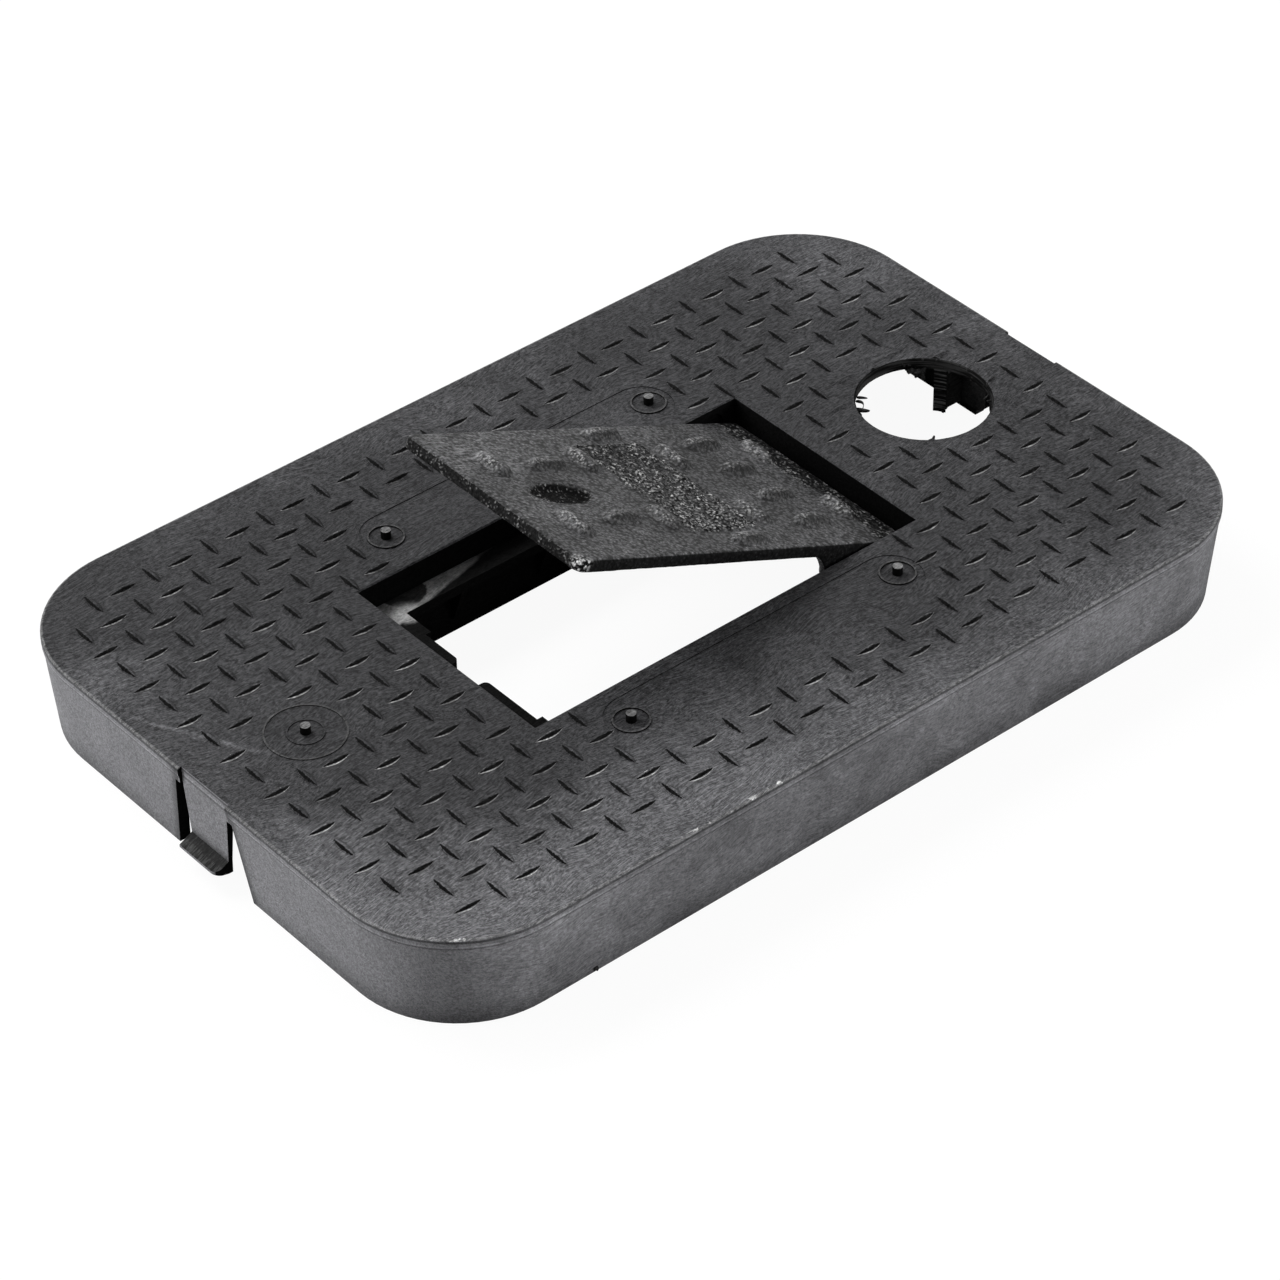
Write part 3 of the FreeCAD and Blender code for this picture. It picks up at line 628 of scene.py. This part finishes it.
def only(kind, geom):
    return [g for g in geom if isinstance(g, kind)]


def held(value, high=1.0):  # between 0 and a highest value
    return min(high, max(0.0, value))


ovals = [  # centre of each oval with the lid shut, mm, and whether it lies along the lid
    (96.6 - u, side * v, alongX)
    for u, rows, alongX in (
        (15.0, (25.0,), False), (40.0, (11.5, 34.0), True), (66.0, (24.5,), False), (88.0, (46.0,), True),
        (117.5, (25.0,), False), (139.5, (23.0,), True), (167.0, (25.0,), False),
    )
    for v in rows for side in (-1, 1)
]

castSkin = {  # metres, but the ovals in mm
    "voxel": 0.85 * mm, "quickVoxel": 1.3, "weld": 0.002 * mm, "sideCut": 54.42 * mm,
    "lumpSize": 7 * mm, "lump": 0.10 * mm, "grainSize": 2.2 * mm, "grain": 0.11 * mm,
    "gritSize": 1.3 * mm, "gritPush": 0.07 * mm,
    "top": 38.2 * mm, "topDepth": 3.4 * mm, "topFacing": 0.3,
    "ovalHalfLength": 11.2, "ovalHalfWidth": 5.6, "ovalRise": 1.1, "domeRise": 1.6,
    "endX": -92.2 * mm, "endFacing": 0.6, "endCoarse": 0.9,
    "hingeX": 80.0 * mm, "hingeFade": 4 * mm, "hingeWander": 9 * mm, "hingeRagged": 0.8, "hingeCoarse": 0.9,
    "hingePit": 0.8,
    "padFrom": -15.4 * mm, "padTo": 22.6 * mm, "padHalf": 37.5 * mm, "padLumpSize": 3.2 * mm, "padLump": 1.3 * mm,
    "padRagged": 2.2 * mm, "padRaggedSize": 5 * mm, "padCoarse": 0.35, "padPit": (1.1, 2.2, 12),
    "pickX": -55.4 * mm, "pickHalfLength": 15.5 * mm, "pickHalfWidth": 8.75 * mm,
    "pickLumpSize": 2.4 * mm, "pickLump": 0.5 * mm, "bowlSlope": 2.0, "bowlFrom": 1.2, "pickCoarse": 6.3,
    "pickCoarseFade": 6.0,
}


def ovalSwell(p, oval, skin):  # 1 in the middle of an oval, 0 outside it
    x, y, alongX = oval
    dx, dy = p.x / mm - x, p.y / mm - y
    if not alongX:
        dx, dy = dy, dx
    return max(0.0, 1 - ((dx / skin["ovalHalfLength"]) ** 2 + (dy / skin["ovalHalfWidth"]) ** 2))


def shutLid(skin, shutTurn):  # the lid's solid, shut, without its trunnions, which are turned and not cast
    bm = bmesh.new()
    bm.from_mesh(lidNode.data)
    bmesh.ops.remove_doubles(bm, verts=bm.verts, dist=skin["weld"])
    bmesh.ops.transform(bm, verts=bm.verts, matrix=shutTurn)
    for side in (-1, 1):
        cut = bmesh.ops.bisect_plane(
            bm, geom=bm.verts[:] + bm.edges[:] + bm.faces[:], dist=0.001 * mm,
            plane_co=(0, side * skin["sideCut"], 0), plane_no=(0, side, 0), clear_outer=True,
        )
        bmesh.ops.holes_fill(bm, edges=only(bmesh.types.BMEdge, cut["geom_cut"]), sides=0)
    return bm


def recast(bm, voxel):  # the same form in small, even faces
    start = addObject("lidStart", toMesh(bm, "lidStart"))
    remesh = start.modifiers.new("cast", "REMESH")
    remesh.mode = "VOXEL"
    remesh.voxel_size = voxel
    bpy.context.view_layer.update()
    dense = bpy.data.meshes.new_from_object(start.evaluated_get(bpy.context.evaluated_depsgraph_get()))
    bpy.data.objects.remove(start)
    bm = bmesh.new()
    bm.from_mesh(dense)
    bpy.data.meshes.remove(dense)
    bmesh.ops.smooth_vert(bm, verts=bm.verts, factor=0.5, use_axis_x=True, use_axis_y=True, use_axis_z=True)
    bm.normal_update()
    return bm


def castPoint(p, normal, skin):  # how far the sand mould pushes a point, and its grit, pit and dome marks
    push = noise.noise(p / skin["lumpSize"]) * skin["lump"]
    push += noise.noise(p / skin["grainSize"] + Vector((9, 4, 2))) * skin["grain"]
    rise = coarse = pit = dome = 0.0
    if normal.z > skin["topFacing"] and p.z > skin["top"] - skin["topDepth"]:
        rise = max(ovalSwell(p, oval, skin) for oval in ovals)
        dome = min(1.0, rise * skin["domeRise"])
        nearHinge = (p.x - skin["hingeX"]) / skin["hingeFade"]
        nearHinge += noise.noise(p / skin["hingeWander"]) * skin["hingeRagged"]
        coarse = held(nearHinge, skin["hingeCoarse"])
        pit = coarse * skin["hingePit"]
        ragged = skin["padRagged"] * noise.noise(p / skin["padRaggedSize"])
        if skin["padFrom"] - ragged < p.x < skin["padTo"] + ragged and abs(p.y) < skin["padHalf"] + ragged:
            crust = noise.turbulence(p / skin["padLumpSize"], 3, True)
            push += (crust - 0.5) * skin["padLump"]
            coarse = max(coarse, min(1.0, skin["padCoarse"] + crust))
            bare, perCrust, perY = skin["padPit"]
            pit = max(pit, min(1.0, bare - crust * perCrust + perY * p.y))
        if abs(p.x - skin["pickX"]) < skin["pickHalfLength"] and abs(p.y) < skin["pickHalfWidth"]:
            push += (noise.turbulence(p / skin["pickLumpSize"], 2, True) - 0.5) * skin["pickLump"]
            across = ((p.x - skin["pickX"]) / skin["pickHalfLength"]) ** 2 + (p.y / skin["pickHalfWidth"]) ** 2
            bowl = held(across * skin["bowlSlope"] - skin["bowlFrom"])  # the recess runs out to an oval
            rise = max(rise, max(0.0, skin["top"] - p.z) * bowl / (skin["ovalRise"] * mm))
            coarse = held(skin["pickCoarse"] - across * skin["pickCoarseFade"])
    if p.x < skin["endX"] and abs(normal.x) > skin["endFacing"]:
        coarse = skin["endCoarse"]
    push += max(coarse, dome) * noise.noise(p / skin["gritSize"]) * skin["gritPush"]
    return normal * push + Vector((0, 0, rise * skin["ovalRise"] * mm)), (coarse, pit, dome)


def makeCastLid(skin):
    pivot = Vector(lidLook["pivot"])
    turn = Matrix.Rotation(math.radians(-lidLook["open"]), 4, "Y")
    shutTurn = Matrix.Translation(pivot) @ turn @ Matrix.Translation(-pivot)
    bm = recast(shutLid(skin, shutTurn), skin["voxel"] * (1.0))
    moves, marks = zip(*(castPoint(v.co, v.normal, skin) for v in bm.verts))
    for v, move in zip(bm.verts, moves):
        v.co += move
    bmesh.ops.transform(bm, verts=bm.verts, matrix=shutTurn.inverted())
    lid = newPiece(bm, "castLid", "lid", castIron, zip(("grit", "pit", "dome"), zip(*marks)))
    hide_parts("reader_lid")
    return lid


trunnionTurned = {"radius": 4.0 * mm, "inner": 50.5 * mm, "outer": 61.2 * mm, "chamfer": 0.8 * mm, "sides": 64}


def makeTrunnions(turned):
    bm = bmesh.new()
    depth = turned["outer"] - turned["inner"]
    for side in (-1, 1):
        made = bmesh.ops.create_cone(
            bm, cap_ends=True, segments=turned["sides"],
            radius1=turned["radius"], radius2=turned["radius"], depth=depth,
        )["verts"]
        lay = Matrix.Rotation(math.radians(-90 * side), 4, "X")
        middle = Vector(lidLook["pivot"]) + Vector((0, side * (turned["inner"] + depth / 2), 0))
        bmesh.ops.transform(bm, verts=made, matrix=Matrix.Translation(middle) @ lay)
        tip = side * turned["outer"]
        rim = [e for e in bm.edges if all(abs(v.co.y - tip) < 0.01 * mm for v in e.verts)]
        bmesh.ops.bevel(
            bm, geom=rim, offset=turned["chamfer"], affect="EDGES", segments=2, profile=0.5, material=-1)
    return newPiece(bm, "lidTrunnions", "lid", castIron)


castLid = makeCastLid(castSkin)
trunnions = makeTrunnions(trunnionTurned)
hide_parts("reader_lid")
print("lid cast:", len(castLid.data.polygons), "faces")


# tread lugs

tread = {  # mm
    "pitchX": 14.2, "pitchY": 13.98, "columns": 15, "rows": 11, "length": 13.8, "width": 4.1, "height": 1.42,
    "sink": 0.35, "alongSteps": 10, "acrossSteps": 4, "flankCurve": 1.15, "edgeMargin": 12.0,
    "footPale": 0.84, "footFade": 0.2, "ridgePale": 0.52,
    "openX": (-100.5, 99.5), "openHalf": 55.7, "openingMargin": 4.5,
    "panelY": 76.8, "panelHalf": 17.8, "panelLength": 80.0, "bandX": (123.4, 191.1), "bandHalf": 13.0,
    "gateX": -169.0, "gateClear": 17.0, "hole": (158.3, 2.7), "holeRadius": 29.3, "holeMargin": 0.6,
    "lugHalf": 6.75, "lugHalfWidth": 1.75,
    "turn": (-1.2, 1.2), "stretch": ((0.985, 1.02), (0.99, 1.04), (0.98, 1.03)),  # small differences between lugs
}


def edgeGap(x, y):
    look = coverLook
    cx = abs(x) - (look["halfLength"] - look["cornerRadius"]) / mm
    cy = abs(y) - (look["halfWidth"] - look["cornerRadius"]) / mm
    if cx > 0 and cy > 0:
        return look["cornerRadius"] / mm - math.hypot(cx, cy)
    return min(look["halfLength"] / mm - abs(x), look["halfWidth"] / mm - abs(y))


def isPlain(t, x, y, alongX):  # whether the tread leaves out the lug at this place
    reachX, reachY = (t["lugHalf"], t["lugHalfWidth"]) if alongX else (t["lugHalfWidth"], t["lugHalf"])
    tipX = abs(x) + (reachX if alongX else 0)
    tipY = abs(y) + (0 if alongX else reachY)
    margin = t["openingMargin"]
    gateGap = math.hypot(max(abs(x - t["gateX"]) - reachX, 0), max(abs(y) - reachY, 0))
    toHole = math.hypot(x - t["hole"][0], y - t["hole"][1])
    return (
        edgeGap(tipX, tipY) < t["edgeMargin"]
        or (t["openX"][0] - margin < x < t["openX"][1] + margin and abs(y) < t["openHalf"] + margin)
        or (abs(abs(y) - t["panelY"]) < t["panelHalf"] and abs(x) < t["panelLength"])
        or (abs(y) < t["bandHalf"] and t["bandX"][0] < x < t["bandX"][1])
        or gateGap <= t["gateClear"]
        or toHole < t["holeRadius"] + t["lugHalf"] + t["holeMargin"]
    )


def lugPlaces(t):
    grid = [
        (n * t["pitchX"], (m + 0.5) * t["pitchY"], (n + m) % 2 == 0)
        for n in range(-t["columns"], t["columns"] + 1) for m in range(-t["rows"], t["rows"])
    ]
    return [place for place in grid if not isPlain(t, *place)]


def lugStart(t):  # one lens-shaped lug, and the flank and foot marks of its points
    one = bmesh.new()
    bmesh.ops.create_grid(one, x_segments=t["alongSteps"], y_segments=t["acrossSteps"], size=1.0)
    for v in one.verts:
        u, w = v.co.x, v.co.y
        swell = 1 - u * u
        height = t["height"] * swell * (1 - abs(w) ** t["flankCurve"])
        v.co = Vector((u * t["length"] / 2, w * swell * t["width"] / 2, height))
    bmesh.ops.remove_doubles(one, verts=one.verts, dist=0.01)
    walls = bmesh.ops.extrude_edge_only(one, edges=[e for e in one.edges if e.is_boundary])["geom"]
    bmesh.ops.translate(one, verts=only(bmesh.types.BMVert, walls), vec=(0, 0, -t["sink"]))
    bmesh.ops.holes_fill(one, edges=[e for e in one.edges if e.is_boundary], sides=0)
    marks = []
    for v in one.verts:  # 1 halfway up each flank, then the pale near foot, dust with a painted highlight, and the pale ridge
        u = v.co.x / (t["length"] / 2)
        spread = (1 - u * u) * t["width"] / 2
        w = v.co.y / spread if spread > 0.01 else 0.0
        foot = max(0.0, -2 * w - 1) * (t["footPale"] - t["footFade"] * u)
        foot += max(0.0, 1 - 2 * abs(w)) * t["ridgePale"]
        marks.append((1 - abs(2 * abs(w) - 1), foot))
    bmesh.ops.scale(one, verts=one.verts, vec=(mm, mm, mm))
    return toMesh(one, "lugStart"), marks


def makeLugs(t):
    lugMesh, marks = lugStart(t)
    bm = bmesh.new()
    seed = random.Random(11)
    flanks = []
    feet = []
    for x, y, alongX in lugPlaces(t):
        flanks += [flank for flank, foot in marks]
        # only lugs along X get the pale foot, partly a painted highlight, and the pale ridge
        feet += [foot if alongX else 0.0 for flank, foot in marks]
        before = len(bm.verts)
        bm.from_mesh(lugMesh)
        bm.verts.ensure_lookup_table()
        made = bm.verts[before:]
        turn = Matrix.Rotation(math.radians((0 if alongX else 90) + seed.uniform(*t["turn"])), 4, "Z")
        stretch = Matrix.Diagonal([seed.uniform(*limits) for limits in t["stretch"]] + [1])
        put = Matrix.Translation(Vector((x * mm, y * mm, coverLook["top"])))
        bmesh.ops.transform(bm, verts=made, matrix=put @ turn @ stretch)
    bpy.data.meshes.remove(lugMesh)
    marks = (("flank", flanks), ("foot", feet))
    return newPiece(bm, "treadLugs", "cover", coverPlastic, marks)


treadLugs = makeLugs(tread)
print("tread lugs:", len(treadLugs.data.polygons), "faces")


# the sawn hole, its burrs and the torn webs under it

sawnHole = {  # mm
    "centre": (158.3, 2.7), "radius": 29.3, "depth": 0.28, "skin": 0.3, "topZ": 44.9, "lowZ": 40.0, "rows": 9,
    "segments": 360, "ribLowZ": 18.2, "ribRows": 30, "ribsY": (15.7, -21.1), "ribWidth": 5.4,
    "crumbs": 18, "crumbAngle": (-18.0, 72.0), "crumbZ": (39.4, 43.8), "crumbRadius": (0.35, 0.75),
    "crumbSink": 0.1,
}


def sawStep(x, y, z):  # how far a saw tooth left the wall standing in, as a share of the depth
    row = noise.noise(Vector((x * 0.05, y * 0.05, z * 1.9)))
    chip = noise.noise(Vector((x * 0.55, y * 0.55, z * 0.8)) + Vector((3, 8, 1)))
    return 0.5 + 0.32 * row + 0.35 * chip


def sawnWall(bm, hole, start, end, z0, z1, rows):  # part of the hole's wall, from z1 down to z0
    cx, cy = hole["centre"]
    radius = hole["radius"] * mm
    ring = bmesh.ops.create_circle(bm, segments=hole["segments"], radius=radius, cap_ends=False)["verts"]
    span = end - start
    keep = [v for v in ring if (math.degrees(math.atan2(v.co.y, v.co.x)) - start) % 360 <= span]
    bmesh.ops.delete(bm, geom=[v for v in ring if v not in keep], context="VERTS")
    bmesh.ops.translate(bm, verts=keep, vec=(cx * mm, cy * mm, z1 * mm))
    edges = [e for e in bm.edges if e.verts[0] in keep and e.verts[1] in keep]
    made = list(keep)
    for row in range(rows):
        geom = bmesh.ops.extrude_edge_only(bm, edges=edges)["geom"]
        verts = only(bmesh.types.BMVert, geom)
        edges = [e for e in only(bmesh.types.BMEdge, geom) if all(v in verts for v in e.verts)]
        bmesh.ops.translate(bm, verts=verts, vec=(0, 0, (z0 - z1) / rows * mm))
        made += verts
    for v in made:
        x, y, z = v.co / mm
        out = Vector((x - cx, y - cy, 0)).normalized()
        v.co -= out * sawStep(x, y, z) * hole["depth"] * mm


def makeSawnRim(hole):
    bm = bmesh.new()
    sawnWall(bm, hole, 0, 360, hole["lowZ"], hole["topZ"], hole["rows"])
    for y in hole["ribsY"]:  # the two spine ribs, cut through on both sides
        a0, a1 = (
            math.degrees(math.asin((edge - hole["centre"][1]) / hole["radius"]))
            for edge in (y, y + hole["ribWidth"]))
        for start, end in ((a0, a1), (180 - a1, 180 - a0)):
            sawnWall(bm, hole, start, end, hole["ribLowZ"], hole["lowZ"], hole["ribRows"])
    bmesh.ops.remove_doubles(bm, verts=bm.verts, dist=0.002 * mm)
    rim = newPiece(bm, "sawnRim", "cover", sawnPlastic)
    thicken = rim.modifiers.new("wall", "SOLIDIFY")
    thicken.thickness = hole["skin"] * mm
    thicken.offset = -1.0


def whisker(bm, points, radii, sides=7):  # a thin curl of plastic along a few points, in mm
    heading = (points[1] - points[0]).normalized()
    turn = Vector((0, 0, 1)).rotation_difference(heading).to_matrix().to_4x4()
    ring = bmesh.ops.create_circle(bm, cap_ends=True, segments=sides, radius=radii[0] * mm)["verts"]
    bmesh.ops.transform(bm, verts=ring, matrix=Matrix.Translation(points[0] * mm) @ turn)
    face = ring[0].link_faces[0]
    for i in range(1, len(points)):
        geom = bmesh.ops.extrude_face_region(bm, geom=[face])["geom"]
        verts = only(bmesh.types.BMVert, geom)
        if i > 1:
            bmesh.ops.delete(bm, geom=[face], context="FACES_ONLY")
        bmesh.ops.translate(bm, verts=verts, vec=(points[i] - points[i - 1]) * mm)
        shrink = radii[i] / radii[i - 1]
        bmesh.ops.scale(bm, verts=verts, vec=(shrink,) * 3, space=Matrix.Translation(-points[i] * mm))
        face = only(bmesh.types.BMFace, geom)[0]


burrs = {
    "whiskers": [  # points and radii, mm
        ([(140.6, 25.2, 41.8), (142.6, 23.8, 41.6), (144.4, 21.9, 41.4)], (0.9, 0.7, 0.35)),
        ([(139.2, 24.4, 41.0), (140.8, 22.0, 41.4), (141.0, 20.8, 40.6), (139.7, 19.8, 40.2), (138.0, 18.6, 40.6)],
         (0.9, 0.75, 0.65, 0.6, 0.35)),
        ([(133.8, 20.8, 41.2), (136.4, 18.2, 41.2), (138.2, 16.0, 41.0), (139.2, 14.9, 41.3)],
         (1.3, 1.2, 0.9, 0.4)),
        ([(134.6, 19.2, 40.6), (135.9, 17.6, 39.4), (136.4, 16.9, 38.9)], (1.1, 0.9, 0.4)),
        ([(184.6, -12.8, 40.8), (182.0, -12.3, 40.4), (180.9, -11.8, 40.9)], (1.0, 0.8, 0.35)),
        ([(185.6, -9.4, 41.0), (182.6, -9.6, 40.2), (181.4, -9.2, 39.7)], (1.0, 0.8, 0.3)),
        ([(184.4, -14.4, 40.6), (181.8, -14.3, 39.9)], (0.9, 0.4)),
        ([(140.8, -21.2, 44.9), (142.2, -20.7, 45.8), (142.6, -20.5, 46.5)], (0.9, 0.7, 0.35)),
        ([(136.0, -20.6, 44.9), (138.8, -20.8, 45.3), (141.2, -20.8, 45.4)], (0.6, 0.8, 0.6)),
        ([(186.9, -6.0, 45.0), (189.2, -6.0, 45.5), (191.2, -6.2, 45.6)], (0.5, 0.5, 0.25)),
    ],
    "chunk": [  # torn crumbs that hang under the plate beside the rib, mm: x, y, z, radius
        (172.5, 26.6, 39.7, 1.2), (174.0, 25.4, 38.9, 1.3), (175.4, 24.0, 39.6, 1.4), (174.6, 24.4, 37.6, 1.1),
        (176.2, 22.8, 38.2, 1.2), (176.4, 22.0, 36.6, 0.9), (177.6, 23.4, 39.4, 1.2), (173.2, 25.9, 40.2, 1.0),
    ],
    "flap": [  # ragged lip under the cut rib
        (183.8, 17.2, 18.6, 0.9), (184.2, 19.0, 18.2, 1.0), (185.6, 18.2, 19.2, 1.2), (186.4, 17.6, 20.6, 1.1),
    ],
    "rimCrumbs": [
        (158.2, 32.2, 44.6, 0.7), (186.6, 10.6, 44.4, 0.7), (187.1, 6.2, 44.3, 0.8),
        (185.8, -7.0, 44.2, 0.9), (185.4, 14.0, 44.2, 0.9), (182.2, 20.0, 44.3, 0.8), (178.2, 24.4, 44.3, 0.9),
    ],
}


def addCrumb(bm, x, y, z, radius, shift):
    made = bmesh.ops.create_icosphere(bm, subdivisions=3, radius=radius * mm)["verts"]
    for v in made:
        p = v.co / mm
        v.co *= 1 + 0.55 * noise.noise(p * 0.9 + shift) + 0.3 * noise.noise(p * 2.3 + shift)
    bmesh.ops.translate(bm, verts=made, vec=Vector((x, y, z)) * mm)


def makeBurrs(parts, hole):
    bm = bmesh.new()
    for points, radii in parts["whiskers"]:
        whisker(bm, [Vector(p) for p in points], radii)
    piece = newPiece(bm, "holeWhiskers", "cover", tornPlastic)
    soften = piece.modifiers.new("soften", "SUBSURF")
    soften.levels = 1
    soften.render_levels = 1
    bm = bmesh.new()
    for group in ("chunk", "flap", "rimCrumbs"):
        for i, (x, y, z, radius) in enumerate(parts[group]):
            addCrumb(bm, x, y, z, radius, Vector((i * 3.7, radius * 9, z)))
    seed = random.Random(4)
    reach = hole["radius"] - hole["crumbSink"]
    for i in range(hole["crumbs"]):  # crumbs left clinging to the wall on the hinge side
        angle = math.radians(seed.uniform(*hole["crumbAngle"]))
        x = hole["centre"][0] + reach * math.cos(angle)
        y = hole["centre"][1] + reach * math.sin(angle)
        z = seed.uniform(*hole["crumbZ"])
        addCrumb(bm, x, y, z, seed.uniform(*hole["crumbRadius"]), Vector((i * 2.9, 7.0, i)))
    newPiece(bm, "holeCrumbs", "cover", tornPlastic)


makeSawnRim(sawnHole)
makeBurrs(burrs, sawnHole)


flashNubs = {
    "places": [  # bits of flash left on the lower edge and on the far rim, mm: x, y, z, radius
        (-140.9, -138.7, 1.5, 1.25), (-85.3, -138.0, 1.2, 0.8), (57.3, -138.0, 1.3, 0.9),
        (-130.8, 141.6, 43.6, 0.9), (-133.6, 141.7, 43.4, 0.8), (-134.8, 141.8, 43.6, 0.6),
    ],
}


def makeNubs(nubs):
    bm = bmesh.new()
    for i, (x, y, z, radius) in enumerate(nubs["places"]):
        addCrumb(bm, x, y, z, radius, Vector((i * 5.1, 2.0, i)))
    newPiece(bm, "flashNubs", "cover", tornPlastic)


makeNubs(flashNubs)
print("burrs and flash made")


# floor, light and camera

studio = {
    "floorSize": 6.0, "floorTone": 0.85, "floorLift": 0.9, "floorGlow": 1.04, "floorMirror": 0.2,
    "worldDiffuse": 0.3, "worldZenith": 0.1, "zenithRange": (0.55, 0.95),
    "lights": [  # name, place, aim, width, height, watts
        ("farLamp", (-0.35, 1.45, 1.95), (0.0, 0.0, 0.03), 1.5, 1.1, 40.0),
        ("leftLamp", (-2.05, 1.6, 0.85), (0.0, 0.0, 0.02), 1.2, 0.8, 32.0),
        ("rightLamp", (1.6, -2.05, 0.8), (0.0, 0.0, 0.02), 1.6, 0.8, 31.0),
    ],
    "cameraPlace": (-0.974737, -1.167518, 1.228301),
    "right": (0.768, -0.6406, 0.0), "roll": -0.8335, "back": (-0.4985, -0.5975, 0.628), "lens": 134.67,
}


def viewRays(tree):  # 1 for mirrored rays, and 1 for those that the camera sees straight or through glass
    rays = addNode(tree, "ShaderNodeLightPath").outputs
    glossy, straight, through = (Field(rays["Is %s Ray" % kind]) for kind in ("Glossy", "Camera", "Transmission"))
    return glossy, straight.calc("ADD", straight, through, clamp=True)


def makeFloor(s):
    bm = bmesh.new()
    bmesh.ops.create_grid(bm, x_segments=1, y_segments=1, size=s["floorSize"] / 2)
    floor = addObject("floor", toMesh(bm, "floor"))
    material = bpy.data.materials.new("paleFloor")
    tree = emptyTree(material)
    matt = addNode(tree, "ShaderNodeBsdfDiffuse", {"Color": grey(s["floorTone"])})
    glow = addNode(tree, "ShaderNodeEmission", {"Color": grey(1.0), "Strength": s["floorGlow"]})
    glossy, seen = viewRays(tree)
    lift = seen.calc("ADD", seen * s["floorLift"], glossy * s["floorMirror"], clamp=True)
    mix = addNode(tree, "ShaderNodeMixShader", {0: lift, 1: Field(matt.outputs[0]), 2: Field(glow.outputs[0])})
    addNode(tree, "ShaderNodeOutputMaterial", {"Surface": Field(mix.outputs[0])})
    floor.data.materials.append(material)


def makeWorld(s):
    world = bpy.data.worlds.new("studio")
    bpy.context.scene.world = world
    tree = emptyTree(world)
    glossy, seen = viewRays(tree)
    height = Field(addNode(tree, "ShaderNodeTexCoord").outputs["Generated"]).xyz()[2]
    mirrored = height.step(*s["zenithRange"], 1.0, s["worldZenith"])
    level = glossy * mirrored + (1.0 - glossy) * s["worldDiffuse"]
    back = addNode(tree, "ShaderNodeBackground", {"Color": grey(1.0), "Strength": most(level, seen)})
    addNode(tree, "ShaderNodeOutputWorld", {"Surface": Field(back.outputs[0])})


def makeLights(s):
    for name, place, aim, width, height, watts in s["lights"]:
        data = bpy.data.lights.new(name, "AREA")
        data.shape = "RECTANGLE"
        data.size = width
        data.size_y = height
        data.energy = watts
        lamp = addObject(name, data)
        lamp.location = place
        lamp.rotation_euler = (Vector(aim) - Vector(place)).to_track_quat("-Z", "Y").to_euler()


def makeCamera(s):
    data = bpy.data.cameras.new("camera")
    data.lens = s["lens"]
    data.sensor_width = 36.0
    data.sensor_fit = "HORIZONTAL"
    data.clip_end = 20.0
    camera = addObject("camera", data)
    back = Vector(s["back"]).normalized()
    right = Vector(s["right"]).normalized()
    up = back.cross(right)
    roll = math.radians(s["roll"])
    right, up = right * math.cos(roll) + up * math.sin(roll), up * math.cos(roll) - right * math.sin(roll)
    place = Vector(s["cameraPlace"])
    camera.matrix_world = Matrix([(*column, 0) for column in (right, up, back)] + [(*place, 1)]).transposed()
    bpy.context.scene.camera = camera


makeFloor(studio)
makeWorld(studio)
makeLights(studio)
makeCamera(studio)
bpy.context.scene.view_settings.view_transform = "Standard"
print("studio ready")

bpy.context.view_layer.update()
